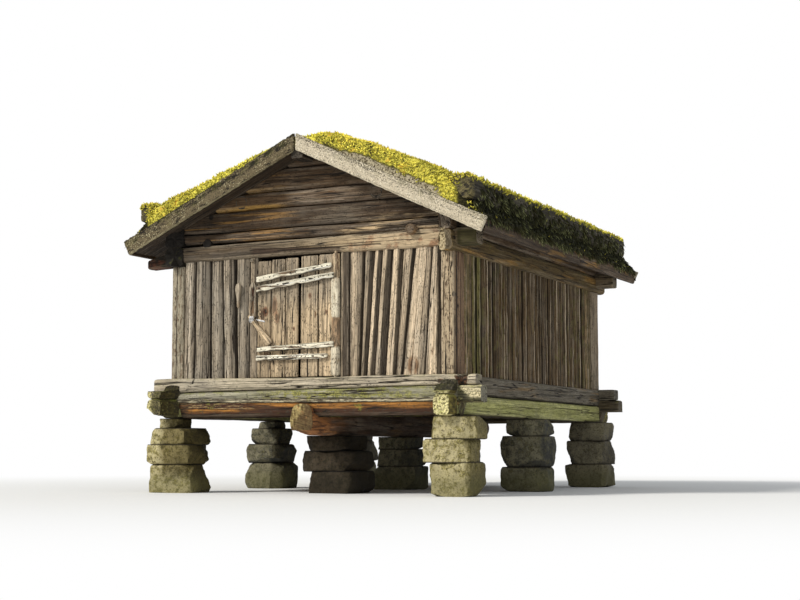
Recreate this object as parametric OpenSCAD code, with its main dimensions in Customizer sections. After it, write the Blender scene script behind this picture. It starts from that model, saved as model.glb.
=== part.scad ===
// Raised granary: a stave-walled store on notched log frames, set on nine
// dry stone piers, under a turf roof. Millimetres, +Z up, the door faces -Y.
// The origin is on the ground at the middle of the plan.

/* [House] */
// Width over the front wall
house_w = 3760; // [3400:20:4600]
// Depth over the side walls
house_d = 5180; // [4600:20:6200]
// Height of the sill's top above the lowest pier foot
sill_z = 1350; // [1250:10:1700]
// Height of the side staves from sill to plate
stave_h = 1380; // [1300:10:1700]
// Thickness of the stave walls
stave_t = 90; // [70:5:120]
// Usual width of one stave
stave_w = 122; // [90:2:180]

/* [Log frame] */
// Thickness of the sill and plate logs across the wall
log_t = 200; // [160:10:240]
// Height of one side sill log
side_log_h = 230; // [190:5:260]
// Height of the lower front sill log
front_log_h = 310; // [280:5:330]
// Height of the upper front sill log
front_sill_h = 150; // [120:5:180]
// How far the sill logs stand out of the stave walls
sill_proud = 40; // [20:5:60]
// How far the plate logs stand out of the stave walls
plate_proud = 20; // [10:5:30]
// How far log ends run on past a corner
log_end = 250; // [180:10:260]
// Height of the front and rear plate logs
plate_h = 200; // [170:5:230]
// How much higher the front plate lies than the side plate
plate_step = 60; // [40:5:90]
// Height of the top side plate at its middle
top_plate_h = 175; // [150:5:220]
// Thickness of the gable logs
gable_t = 170; // [140:5:190]
// Radius of the rounded log edges
log_round = 50; // [30:5:60]
// Width of a corner post on the front
post_w = 180; // [160:5:200]
// Depth of a corner post on the side
post_d = 300; // [240:10:360]

/* [Floor] */
// Diameter of the middle joist under the house
joist_d = 330; // [300:5:360]
// How much is hewn off the joist's top and foot
joist_flat = 20; // [10:2:30]
// How far the joist is let into the front and rear sill logs
joist_let = 80; // [60:5:100]
// How far the joist runs out past the walls
joist_out = 110; // [80:10:150]
// Usual width of one floor board
floor_board_w = 280; // [200:10:360]
// Thickness of the floor boards
floor_t = 60; // [45:5:70]
// Drop from the sill's top to the floor
floor_drop = 30; // [20:5:60]
// How far the floor is let into the side sills
floor_groove = 30; // [20:5:50]
// Width of the bearer on the joist
bearer_w = 220; // [180:10:260]

/* [Door] */
// Left side of the doorway
door_x0 = -660; // [-760:10:-560]
// Right side of the doorway
door_x1 = 440; // [360:10:540]
// Width of a door jamb stave
jamb_w = 110; // [90:5:140]
// Depth of a door jamb stave
jamb_d = 120; // [100:5:140]
// Thickness of the door boards
leaf_t = 40; // [30:2:50]
// How far the door boards stand out of the stave wall
leaf_proud = 15; // [5:5:25]
// Gap around the door
door_gap = 9; // [6:1:12]
// Diameter of the turning post at the door's hinge side
pivot_d = 90; // [80:2:100]
// How far the boards are let into the turning post
leaf_let = 14; // [8:1:20]
// Diameter of the pivot pins
pin_d = 44; // [36:2:50]
// Length of a pivot pin
pin_l = 34; // [26:2:40]
// Clearance around a pivot pin
pin_gap = 2; // [1:0.5:4]
// How far the ledges stand out of the boards
ledge_t = 42; // [30:2:55]
// Length of the slanting door bar
bar_len = 450; // [400:10:500]
// Width of the door bar
bar_w = 60; // [50:5:70]
// Thickness of the door bar
bar_t = 28; // [20:2:34]
// Gap between the door bar and the boards
bar_clear = 14; // [10:1:20]
// Lean of the door bar in degrees
bar_lean = 51; // [44:1:58]
// Height of the door bar's head above the sill
bar_rise = 730; // [700:10:780]
// Height of the keepers' tops above the sill
keeper_top = 1140; // [1100:10:1180]
// Length of a keeper
keeper_h = 320; // [280:10:360]
// Width of a keeper
keeper_w = 64; // [50:2:80]
// How far a keeper stands out of the staves
keeper_t = 52; // [40:2:60]

/* [Roof] */
// Roof pitch in degrees
pitch = 25.4; // [22:0.2:30]
// Reach of the roof past the side walls, to the bargeboard's end
eave_reach = 510; // [440:10:600]
// Reach of the roof past the gables
gable_reach = 300; // [290:10:400]
// Thickness of the roof boards
deck_t = 36; // [30:2:50]
// Usual width of one roof board
deck_board_w = 240; // [180:10:320]
// Width of a bargeboard along the plumb line
barge_h = 205; // [170:5:240]
// How far a bargeboard hangs below the roof boards
barge_drop = 20; // [10:5:40]
// Thickness of a bargeboard
barge_t = 45; // [35:5:60]
// Height of the eave board
eave_board_h = 180; // [150:5:210]
// Thickness of the eave board
eave_board_t = 50; // [40:5:60]
// Distance of the eave board from the bargeboard's end
eave_back = 50; // [30:5:80]
// How far the eave board hangs below the roof boards
eave_drop = 30; // [15:5:50]
// Depth of the turf at the ridge
turf_ridge_t = 195; // [150:5:240]
// Depth of the turf behind the turf log
turf_log_t = 360; // [320:5:400]
// Depth of the turf under the turf log
turf_under_log = 235; // [200:5:260]
// Depth of the turf at the eave
turf_eave_t = 150; // [130:5:180]
// Diameter of the turf log
turf_log_d = 230; // [200:5:260]
// Distance of the turf log from the eave
turf_log_in = 330; // [300:5:360]
// How far the turf log stops short of the bargeboards
turf_log_short = 25; // [10:5:60]
// Diameter of the side purlins
purlin_d = 170; // [140:10:200]
// Wood between a side purlin and the gable joints over and under it
purlin_bed = 15; // [10:1:30]
// Wood of the lowest gable log over the pole beams
pole_cover = 70; // [50:5:90]
// Wood between the ridge beam and the gable joint under it
ridge_cover = 40; // [25:5:60]
// Height of the ridge beam
ridge_h = 110; // [90:5:120]
// Width of the ridge beam
ridge_w = 160; // [120:10:200]
// Diameter of the pole beams
pole_d = 120; // [90:5:140]
// Distance of a pole beam inside the side plates
pole_in = 430; // [340:10:600]
// How far the pole ends stand out of the front and rear plates
pole_out = 70; // [40:10:100]

/* [Piers] */
// Distance of the side piers inside the side walls
pier_side_in = 30; // [0:10:80]
// Distance of the front side piers behind the front wall
pier_front_in = 150; // [100:10:300]
// Distance of the rear side piers inside the rear wall
pier_rear_in = 340; // [200:10:500]
// Distance of the front and rear joist piers inside the walls
pier_joist_in = 750; // [500:10:1000]
// Place of the middle side piers in front of the middle
pier_y_mid = 200; // [-200:10:600]
// Usual width of a pier stone
stone_w = 560; // [480:10:600]
// Half the height of the open joint between two stones
stone_bed = 10; // [4:1:16]

/* [Hidden] */

far = 10000;
eps = 1;
arc_steps = 3;
pole_sides = 12;

// Wall planes and log lines
wall_x = house_w / 2;
wall_y = house_d / 2;
sill_x = wall_x + sill_proud - log_t / 2;
sill_y = wall_y + sill_proud - log_t / 2;
plate_x = wall_x + plate_proud - log_t / 2;
plate_y = wall_y + plate_proud - log_t / 2;

// Heights of the sill frame
z_fl1 = sill_z - front_sill_h;
z_fl0 = z_fl1 - front_log_h;
z_sl1 = sill_z - side_log_h;
z_sl0 = z_sl1 - side_log_h;

// Heights of the plate frame
z_ps0 = sill_z + stave_h;
z_ps1 = z_ps0 + side_log_h;
z_pf0 = z_ps0 + plate_step;
z_pf1 = z_pf0 + plate_h;

// Play between faces that meet on a slope or on a curve
seat = 0.3;

// Roof lines, measured to the underside of the roof boards
slope = tan(pitch);
ridge_z = z_ps1 + top_plate_h + plate_x * slope;
roof_x = wall_x + eave_reach;
roof_y = wall_y + gable_reach;
deck_y = roof_y - barge_t;
eave_out = roof_x - eave_back;
eave_in = eave_out - eave_board_t;
deck_dz = deck_t / cos(pitch);
function under(x) = ridge_z - abs(x) * slope;
function deck_top(x) = under(x) + deck_dz;

// Faces on which the crossing logs lap each other, from the lowest up
lap_1 = (z_fl0 + z_sl1) / 2;
lap_2 = (z_sl1 + z_fl1) / 2;
lap_3 = (z_fl1 + sill_z) / 2;
lap_4 = (z_pf0 + z_ps1) / 2;
lap_5 = (z_ps1 + z_pf1) / 2;
lap_6 = round((z_pf1 + under(plate_x)) / 2);

// Poles, purlins and the gable joints, which leave each of them whole in its course
pole_x = plate_x - pole_in;
pole_y = wall_y + plate_proud + pole_out;
purlin_x = plate_x / 2;
purlin_z = under(purlin_x) - purlin_d / 2 / cos(pitch);
gable_y = wall_y - gable_t / 2;
gable_z = [z_pf1, z_pf1 + pole_d / 2 + pole_cover, round(purlin_z - purlin_d / 2 - purlin_bed),
    round(purlin_z + purlin_d / 2 + purlin_bed), round(ridge_z - ridge_h - ridge_cover),
    ceil(ridge_z)];

// Joist and floor heights
joist_top = z_fl0 + joist_let;
joist_z = joist_top + joist_flat - joist_d / 2;
joist_foot = joist_z - joist_d / 2 + joist_flat;
joist_y = wall_y + joist_out;
floor_z = sill_z - floor_drop;
floor_x = sill_x - log_t / 2 + floor_groove;
floor_y = sill_y - log_t / 2;

// Pier places
pier_x = wall_x - pier_side_in;
pier_y_front = wall_y - pier_front_in;
pier_y_rear = wall_y - pier_rear_in;
pier_y_joist = wall_y - pier_joist_in;

// Door
door_h = z_pf0 - sill_z;
leaf_y = -(wall_y + leaf_proud);
pivot_x = door_x1 - door_gap - pivot_d / 2;
pivot_y = leaf_y + leaf_t / 2;
leaf_x0 = door_x0 + door_gap;
leaf_x1 = pivot_x - pivot_d / 2 + leaf_let;
pivot_z0 = sill_z + door_gap;
pivot_z1 = z_pf0 - door_gap;
bar_y = leaf_y - bar_clear - bar_t;

// Turf log, laid on the turf near the eave
turf_log_x = roof_x - turf_log_in;
turf_log_z = deck_top(turf_log_x) + turf_under_log + turf_log_d / 2;
turf_back = turf_log_x - turf_log_d / 4;
turf_front = turf_log_x + turf_log_d / 3;

// A steady wave between -1 and 1, which varies what repeats
function vary(k) = sin(k * 137.5 + 60 * sin(k * 71.3));

// Outline of a hewn log with rounded edges, centred
function log_outline(w, h, r = log_round) = [
    for (c = [0:3], s = [0:arc_steps])
        let (a = 90 * c + 90 * s / arc_steps)
        [(c == 0 || c == 3 ? 1 : -1) * (w / 2 - r) + r * cos(a),
         (c < 2 ? 1 : -1) * (h / 2 - r) + r * sin(a)]];

// A log along X at depth y, from z0 to z1
module log_x(x0, x1, y, z0, z1, w = log_t) {
    translate([x0, y, (z0 + z1) / 2]) rotate([90, 0, 90])
        linear_extrude(x1 - x0) polygon(log_outline(w, z1 - z0));
}

// A log along Y at side x, from z0 to z1
module log_y(y0, y1, x, z0, z1, w = log_t) {
    translate([x, y1, (z0 + z1) / 2]) rotate([90, 0, 0])
        linear_extrude(y1 - y0) polygon(log_outline(w, z1 - z0));
}

// What a log loses at the four corners, below z_low and above z_high
module corner_laps(cx, cy, z_low, z_high, across) {
    size = across == "x" ? [log_t + 2 * eps, log_t, far] : [log_t, log_t + 2 * eps, far];
    for (sx = [-1, 1], sy = [-1, 1]) translate([sx * cx, sy * cy, 0]) {
        if (z_low > 0) translate([0, 0, z_low - far / 2]) cube(size, center = true);
        if (z_high > 0) translate([0, 0, z_high + far / 2]) cube(size, center = true);
    }
}

module sill_side(side, z0, z1, z_low, z_high) {
    difference() {
        log_y(-sill_y - log_t / 2 - log_end + sill_proud, sill_y + log_t / 2 + log_end - sill_proud,
            side * sill_x, z0, z1);
        corner_laps(sill_x, sill_y, z_low, z_high, "x");
    }
}

module sill_cross(side, z0, z1, z_low, z_high) {
    difference() {
        log_x(-sill_x - log_t / 2 - log_end + sill_proud, sill_x + log_t / 2 + log_end + sill_proud,
            side * sill_y, z0, z1);
        corner_laps(sill_x, sill_y, z_low, z_high, "y");
    }
}

// A lower cross log: hewn up at both ends, and notched over the joist
module sill_cross_lower(side) {
    end_rise = 30;
    difference() {
        sill_cross(side, z_fl0, z_fl1, lap_1, lap_2);
        for (sx = [-1, 1])
            translate([sx * (sill_x + log_t / 2 - eps + far / 2), 0, lap_1 + end_rise - far / 2])
                cube(far, center = true);
        joist(seat);
    }
}

module plate_side(side) {
    difference() {
        log_y(-plate_y - log_t / 2 - log_end + plate_proud, plate_y + log_t / 2 + log_end - plate_proud,
            side * plate_x, z_ps0, z_ps1);
        corner_laps(plate_x, plate_y, 0, lap_4, "x");
    }
}

// The top side plate reaches the bargeboards and is hewn to the roof's slope
module plate_side_top(side) {
    difference() {
        log_y(-deck_y, deck_y, side * plate_x, z_ps1, z_ps1 + top_plate_h + log_t);
        above_roof();
        corner_laps(plate_x, plate_y, lap_5, lap_6, "x");
    }
}

module plate_cross(side) {
    difference() {
        log_x(-plate_x - log_t / 2 - log_end, plate_x + log_t / 2 + log_end, side * plate_y,
            z_pf0, z_pf1);
        corner_laps(plate_x, plate_y, lap_4, lap_5, "y");
        above_roof();
        poles();
    }
}

// Everything above the underside of the roof boards
module above_roof() {
    translate([0, far / 2, -seat]) rotate([90, 0, 0]) linear_extrude(far)
        polygon([[-roof_x, under(roof_x)], [0, ridge_z], [roof_x, under(roof_x)],
            [roof_x, far], [-roof_x, far]]);
}

// One course of both gables, cut to the roof's slope and round the purlins
module gable_course(k) {
    reach = plate_x + log_t / 2;
    difference() {
        for (side = [-1, 1])
            log_x(-reach, reach, side * gable_y, gable_z[k - 1], gable_z[k], gable_t);
        above_roof();
        if (k == 1) {
            corner_laps(plate_x, plate_y, lap_6, 0, "y");
            poles();
        }
        purlin_pair();
        ridge();
    }
}

module pole(x, z, d, y0, y1) {
    translate([x, y1, z]) rotate([90, 0, 0]) cylinder(h = y1 - y0, d = d, $fn = pole_sides);
}

module poles() for (side = [-1, 1]) pole(side * pole_x, z_pf1, pole_d, -pole_y, pole_y);
module purlin_pair() for (side = [-1, 1]) pole(side * purlin_x, purlin_z, purlin_d, -wall_y, wall_y);

// Ridge beam, hewn to both slopes at the top
module ridge() {
    half = ridge_w / 2;
    edge = 25;
    foot = ridge_z - ridge_h;
    translate([0, deck_y, -seat]) rotate([90, 0, 0]) linear_extrude(2 * deck_y)
        polygon([[0, ridge_z], [-half, under(half)], [-half, foot + edge], [-half + edge, foot],
            [half - edge, foot], [half, foot + edge], [half, under(half)]]);
}

// Outline of a row of split staves from a to b: flat inside, rounded and grooved outside.
// A curve point is [share of the width, depth as a share of the thickness]
stave_curve = [[0.03, 0.27], [0.16, 0.08], [0.5, 0], [0.84, 0.08], [0.97, 0.27]];
stave_uneven = 0.22;
stave_edge_depth = 0.3;
function stave_edge(a, b, n, k, shift) =
    k == 0 ? a : k == n ? b : a + (b - a) * (k + stave_uneven * vary(k + shift)) / n;
function stave_row(a, b, n, shift) = concat(
    [for (k = [0:n - 1], p = stave_curve)
        let (u = stave_edge(a, b, n, k, shift), v = stave_edge(a, b, n, k + 1, shift),
            set_back = stave_uneven * (1 + vary(k + shift + 0.5)) / 2)
        [u + (v - u) * p[0], stave_t * (p[1] + set_back)]],
    [[b, stave_t * stave_edge_depth], [b, stave_t], [a, stave_t], [a, stave_t * stave_edge_depth]]);

// A panel of staves along X from a to b, its outer face towards -Y at y = 0.
// Leaning staves run on past both ends and are trimmed there, as wedges.
module stave_panel(a, b, h, shift = 0, lean = 0) {
    run_on = h * tan(lean);
    n = max(2, round((b - a + 2 * run_on) / stave_w));
    row = stave_row(a - run_on, b + run_on, n, shift);
    if (lean == 0) linear_extrude(h) polygon(row);
    else intersection() {
        translate([(a + b) / 2, 0, h / 2]) rotate([0, lean, 0]) translate([-(a + b) / 2, 0, -h])
            linear_extrude(2 * h) polygon(row);
        translate([a, 0, 0]) cube([b - a, stave_t, h]);
    }
}

// Outline of a corner post: square inside, hewn round outside
module corner_post(sx, sy) {
    r = 45;
    mirror([sx < 0 ? 1 : 0, 0, 0]) mirror([0, sy < 0 ? 1 : 0, 0])
        translate([wall_x - post_w, wall_y - post_d, sill_z]) linear_extrude(stave_h)
            polygon(concat([[0, 0], [post_w - r / 2, 0], [post_w, r]],
                [for (s = [0:arc_steps]) let (a = 90 * s / arc_steps)
                    [post_w - r + r * cos(a), post_d - r + r * sin(a)]],
                [[r, post_d], [0, post_d - r / 2]]));
}

// Outline of one stone at height z: a rough square with blunt corners
stone_sides = 12;
stone_square = 0.72;
stone_rough = 0.05;
function stone_ring(s, z, grow, seed) = [
    for (i = [0:stone_sides - 1])
        let (a = 360 * (i + 0.5) / stone_sides, q = max(abs(cos(a)), abs(sin(a))),
            r = grow / 2 * (stone_square / q + 1 - stone_square)
                * (1 + stone_rough * vary(seed * 7 + i)))
        [stone_w * (s[3] + s[0] * r * cos(a)), stone_w * s[1] * r * sin(a), z]];

// Height of the k-th bed of a pier, counted from its foot
function bed_z(stones, k, top) = k == 0 ? 0
    : top * ([for (i = [0:k - 1]) 1] * [for (i = [0:k - 1]) stones[i][2]])
        / ([for (s = stones) 1] * [for (s = stones) s[2]]);

// Outlines of the k-th stone, and of the joint above it. A stone is widest between its shoulders
stone_bed_width = 0.87;
stone_joint_width = 0.74;
stone_shoulders = [0.28, 0.7];
function stone_rings(stones, k, top, seed) =
    let (z0 = bed_z(stones, k, top), z1 = bed_z(stones, k + 1, top), h = z1 - z0, s = stones[k],
        last = k == len(stones) - 1)
    concat([stone_ring(s, k == 0 ? 0 : z0 + stone_bed, stone_bed_width, seed),
            stone_ring(s, z0 + stone_shoulders[0] * h, 1, seed + 1),
            stone_ring(s, z0 + stone_shoulders[1] * h, 1, seed + 2),
            stone_ring(s, last ? top : z1 - stone_bed, stone_bed_width, seed + 3)],
        last ? [] : [stone_ring((s + stones[k + 1]) / 2, z1, stone_joint_width, seed + 4)]);

// A dry pier. Its stones, from the foot up, are [width, depth, share of the height, shift in x],
// with the width, depth and shift in usual stone widths
module pier(x, y, top, stones, seed) {
    rings = [for (k = [0:len(stones) - 1]) each stone_rings(stones, k, top, seed + 5 * k)];
    n = stone_sides;
    last = len(rings) - 1;
    translate([x, y, 0]) polyhedron(
        points = [for (ring = rings) each ring],
        faces = concat([[for (i = [0:n - 1]) i]], [[for (i = [0:n - 1]) last * n + n - 1 - i]],
            [for (k = [0:last - 1], i = [0:n - 1]) let (j = (i + 1) % n, u = k * n, v = u + n)
                each [[u + i, v + i, u + j], [u + j, v + i, v + j]]]));
}

module piers_front() color("#a8a184") {
    pier(-pier_x, -pier_y_front, z_sl0, [[1.07, 1.00, 34, 0.02], [1.11, 1.04, 24, 0],
        [0.98, 0.90, 20, -0.03], [0.74, 0.71, 12, 0.04]], 11);
    pier(0, -pier_y_joist, joist_foot, [[1.29, 1.14, 27, 0], [1.25, 1.11, 25, 0.03],
        [1.11, 1.00, 16, -0.02]], 23);
    pier(pier_x, -pier_y_front, z_sl0, [[0.89, 0.93, 38, 0.02], [0.93, 1.00, 26, -0.04],
        [0.89, 0.93, 26, 0.03]], 37);
}

module piers_middle() color("#8f8a76") {
    pier(-pier_x, -pier_y_mid, z_sl0, [[1.00, 0.96, 36, 0], [0.96, 1.00, 26, 0.02],
        [0.79, 0.75, 22, 0], [0.54, 0.54, 10, 0.03]], 51);
    pier(0, 0, joist_foot, [[1.07, 1.07, 30, 0], [1.00, 1.04, 22, 0.02], [0.93, 0.93, 16, -0.02]], 63);
    pier(pier_x, -pier_y_mid, z_sl0, [[1.00, 1.00, 30, 0], [1.07, 1.04, 38, -0.02],
        [0.86, 0.82, 21, 0.03]], 77);
}

module piers_rear() color("#7f7a68") {
    pier(-pier_x, pier_y_rear, z_sl0, [[1.00, 1.00, 36, 0], [0.96, 0.96, 30, 0.02],
        [0.82, 0.82, 24, -0.02]], 91);
    pier(0, pier_y_joist, joist_foot, [[1.14, 1.07, 27, 0], [1.07, 1.04, 24, -0.02],
        [0.96, 0.96, 17, 0.02]], 103);
    pier(pier_x, pier_y_rear, z_sl0, [[1.00, 1.00, 32, 0], [0.96, 1.00, 32, 0],
        [0.82, 0.86, 26, 0.02]], 117);
}

// The round joist, hewn flat on top and foot
module joist(grow = 0) difference() {
    translate([0, joist_y, joist_z]) rotate([90, 0, 0])
        cylinder(h = 2 * joist_y, d = joist_d + 2 * grow, $fn = 48);
    translate([0, 0, joist_top + far / 2]) cube(far, center = true);
    translate([0, 0, joist_foot - far / 2]) cube(far, center = true);
}
module joist_middle() color("#7a5a3c") joist();

module floor_bearer() color("#6e5638")
    log_y(-floor_y, floor_y, 0, joist_top, floor_z - floor_t, bearer_w);

module sills_side_lower() color("#929364")
    for (side = [-1, 1]) sill_side(side, z_sl0, z_sl1, 0, lap_1);

// The upper side sills carry the floor in a groove
module sills_side_upper() color("#938862") difference() {
    for (side = [-1, 1]) sill_side(side, z_sl1, sill_z, lap_2, lap_3);
    floor_slab();
}

module sill_front_lower() color("#a09a6c") sill_cross_lower(-1);
module sill_rear_lower() color("#857a58") sill_cross_lower(1);
module sill_front_upper() color("#b5a888") difference() {
    sill_cross(-1, z_fl1, sill_z, lap_3, 0);
    pivot_socket(sill_z);
}
module sill_rear_upper() color("#8b7c5c") sill_cross(1, z_fl1, sill_z, lap_3, 0);

module floor_slab() translate([-floor_x, -floor_y, floor_z - floor_t])
    cube([2 * floor_x, 2 * floor_y, floor_t]);
module floor_joint(y) {
    g = 6;
    translate([0, y, floor_z]) rotate([45, 0, 0])
        cube([2 * (floor_x - floor_groove) + eps, g, g], center = true);
}
module floor() color("#8a7350") difference() {
    floor_slab();
    n = round(2 * floor_y / floor_board_w);
    for (k = [1:n - 1]) floor_joint((2 * k / n - 1) * floor_y);
}

module corner_posts() color("#8d8268") for (sx = [-1, 1], sy = [-1, 1]) corner_post(sx, sy);

module wall_right() color("#7d7058") translate([wall_x, 0, sill_z]) rotate([0, 0, 90])
    stave_panel(-wall_y + post_d, wall_y - post_d, stave_h, 3);
module wall_left() color("#7d7058") translate([-wall_x, 0, sill_z]) rotate([0, 0, -90])
    stave_panel(-wall_y + post_d, wall_y - post_d, stave_h, 5);
module wall_rear() color("#766b55") translate([0, wall_y, sill_z]) rotate([0, 0, 180])
    stave_panel(-wall_x + post_w, wall_x - post_w, door_h, 9);
module wall_front_left() color("#a8977a") translate([0, -wall_y, sill_z])
    stave_panel(-wall_x + post_w, door_x0 - jamb_w, door_h, 2, 1);
module wall_front_right() color("#bfae90") translate([0, -wall_y, sill_z])
    stave_panel(door_x1 + jamb_w, wall_x - post_w, door_h, 7, 3);

// A jamb stave: hewn round outside, square towards the doorway
module jamb(x0, x1) translate([(x0 + x1) / 2, -wall_y + jamb_d / 2, sill_z])
    linear_extrude(door_h) polygon(log_outline(x1 - x0, jamb_d, 20));
module door_jambs() color("#8f8064") {
    jamb(door_x0 - jamb_w, door_x0);
    jamb(door_x1, door_x1 + jamb_w);
}

// Door boards, whose tops rise towards the hinge side
leaf_cuts = [0, 0.18, 0.38, 0.59, 0.83, 1];
leaf_tops = [62, 48, 38, 18, 8];
module door_leaf() color("#b5a282") for (k = [0:len(leaf_tops) - 1]) {
    w = leaf_x1 - leaf_x0;
    u = leaf_x0 + w * leaf_cuts[k];
    v = leaf_x0 + w * leaf_cuts[k + 1];
    step = k % 2 == 0 ? 0 : 5;
    translate([u, leaf_y + step, sill_z + door_gap])
        cube([v - u, leaf_t - step, door_h - 2 * door_gap - leaf_tops[k]]);
}

// The turning post, round, with a pin at each end
module pivot_cylinder(grow = 0) translate([pivot_x, pivot_y, pivot_z0])
    cylinder(h = pivot_z1 - pivot_z0, d = pivot_d + 2 * grow, $fn = 32);
module door_pivot() color("#c9bd9c") difference() {
    union() {
        pivot_cylinder();
        translate([pivot_x, pivot_y, pivot_z0 - pin_l])
            cylinder(h = pivot_z1 - pivot_z0 + 2 * pin_l, d = pin_d, $fn = 32);
    }
    translate([leaf_x0, leaf_y - eps, 0]) cube([leaf_x1 - leaf_x0, leaf_t + 2 * eps, far]);
}
module pivot_socket(z) translate([pivot_x, pivot_y, z])
    cylinder(h = 2 * (pin_l + pin_gap), d = pin_d + 2 * pin_gap, center = true, $fn = 32);

// Door ledges: [left end, rise of its middle above the sill, right end, rise there, height]
ledges = [[-652, 1167, 0, 1290, 62], [-652, 1050, 1, 1182, 70],
    [-635, 335, 1, 375, 60], [-648, 236, 0, 238, 52]];
module ledge(l) {
    x0 = max(l[0], leaf_x0);
    x1 = l[2] == 1 ? pivot_x - 5 : leaf_x1;
    tilt = atan((l[3] - l[1]) / (pivot_x - l[0]));
    difference() {
        translate([x0, leaf_y - ledge_t, sill_z + l[1]]) rotate([0, -tilt, 0])
            translate([0, 0, -l[4] / 2]) cube([(x1 - x0) / cos(tilt), ledge_t, l[4]]);
        pivot_cylinder(0.5);
        translate([x1, -far / 2, 0]) cube(far);
    }
}
module door_ledges() color("#d8ccae") for (l = ledges) ledge(l);

// Places on the slanting bar: u along it from its head, v across it
module on_bar(u, v) translate([door_x0 - jamb_w, bar_y, sill_z + bar_rise])
    rotate([0, bar_lean, 0]) translate([u, 0, v]) children();

// A bar that is pegged to the door near its foot and bears on the jamb
module door_bar() color("#a08a66") {
    peg_d = bar_w / 2;
    on_bar(0, 0) cube([bar_len, bar_t, bar_w]);
    on_bar(bar_len - peg_d, bar_w / 2) translate([0, bar_t + bar_clear, 0]) rotate([90, 0, 0])
        cylinder(h = bar_clear, d = peg_d, $fn = 24);
}

// Iron hasp on the bar's head: a plate with a square staple
module door_hasp() color("#b8b8b4") {
    plate = bar_w - 6;
    iron = 4;
    staple = [32, 24, 26];
    on_bar(bar_w, bar_w / 2) rotate([0, -bar_lean, 0]) {
        translate([-plate / 2, -iron, -plate / 2]) cube([plate, iron, plate]);
        difference() {
            translate([-staple[0] / 2, -iron - staple[1], -staple[2] / 2]) cube(staple);
            translate([-staple[0] / 4, -2 * staple[1], -staple[2] / 4])
                cube([staple[0] / 2, 2 * staple[1] - iron - 2, far]);
        }
    }
}

// Carved keepers, one on the staves and one on the jamb, left of the door
module keeper(x, h) translate([x, -wall_y, sill_z + keeper_top - h / 2])
    rotate([90, 0, 0]) linear_extrude(keeper_t) polygon([
        for (s = [0:11]) let (a = 30 * s, r = s % 3 == 0 ? 1 : 0.88)
            [keeper_w / 2 * r * cos(a), h / 2 * r * sin(a)]]);
module door_keepers() color("#c2b598") {
    keeper(door_x0 - jamb_w - 2 * keeper_w, 0.94 * keeper_h);
    keeper(door_x0 - jamb_w / 2, 1.06 * keeper_h);
}

module plates_side_lower() color("#8d7c50") for (side = [-1, 1]) plate_side(side);
module plates_side_upper() color("#655538") for (side = [-1, 1]) plate_side_top(side);
module plate_front() color("#a8946c") difference() {
    plate_cross(-1);
    pivot_socket(z_pf0);
}
module plate_rear() color("#6b5a3c") plate_cross(1);

module gable_logs_1() color("#8c7650") gable_course(1);
module gable_logs_2() color("#6f5a3a") gable_course(2);
module gable_logs_3() color("#8a6f42") gable_course(3);
module gable_logs_4() color("#6a5538") gable_course(4);
module gable_logs_5() color("#7a5c38") gable_course(5);
module ridge_beam() color("#6b5033") ridge();
module purlins() color("#6b5033") purlin_pair();
module pole_beams() color("#a07c48") poles();

// Boards from the ridge down to the eave board, grooved at each joint
module roof_boards(side) {
    n = round(2 * deck_y / deck_board_w);
    run = eave_in / cos(pitch) + deck_t;
    groove = 8;
    outline = concat([for (k = [0:n - 1]) let (y = deck_y * (2 * k / n - 1), e = deck_y * 2 / n)
            each [[y + (k == 0 ? 0 : groove / 2), 0], [y + e - (k == n - 1 ? 0 : groove / 2), 0],
                [y + e, k == n - 1 ? 0 : groove]]],
        [[deck_y, deck_t], [-deck_y, deck_t]]);
    intersection() {
        mirror([side < 0 ? 1 : 0, 0, 0]) translate([0, 0, ridge_z]) rotate([0, 90 + pitch, 0])
            translate([0, 0, -deck_t]) linear_extrude(run + deck_t)
                polygon([for (p = outline) [-p[1], p[0]]]);
        translate([side * eave_in / 2, 0, 0]) cube([eave_in, far, far], center = true);
    }
}
module roof_boards_left() color("#5c4a32") roof_boards(-1);
module roof_boards_right() color("#5c4a32") roof_boards(1);

module eave_boards() color("#7a5f3e") for (side = [-1, 1])
    translate([side * (eave_in + eave_board_t / 2), 0, under(eave_in) - eave_drop + eave_board_h / 2])
        cube([eave_board_t, 2 * deck_y, eave_board_h], center = true);

// A bargeboard at each gable: plumb joint at the peak, square cut at the eave
module bargeboards(side) for (y = [-roof_y, deck_y])
    translate([0, y + barge_t, 0]) rotate([90, 0, 0]) linear_extrude(barge_t)
        polygon([[0, ridge_z - barge_drop], [0, ridge_z - barge_drop + barge_h],
            [side * roof_x, under(roof_x) - barge_drop + barge_h],
            [side * (roof_x - barge_h * sin(pitch) * cos(pitch)),
                under(roof_x - barge_h * sin(pitch) * cos(pitch)) - barge_drop]]);
module bargeboards_left() color("#8d8a70") bargeboards(-1);
module bargeboards_right() color("#b0a88c") bargeboards(1);

// Turf depth above the roof boards, at x from the ridge and y along it
turf_hump = 16;
function turf_depth(x, y) = x <= turf_back
    ? turf_ridge_t + (turf_log_t - turf_ridge_t) * x / turf_back + turf_hump * vary(x / 310 + y / 270)
    : turf_eave_t + (turf_log_z - deck_top(turf_front) - turf_log_d / 4 - turf_eave_t)
        * (eave_in - x) / (eave_in - turf_front);
function turf_lines() = concat([for (k = [0:6]) k * turf_back / 6], [turf_front, eave_in]);

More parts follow.
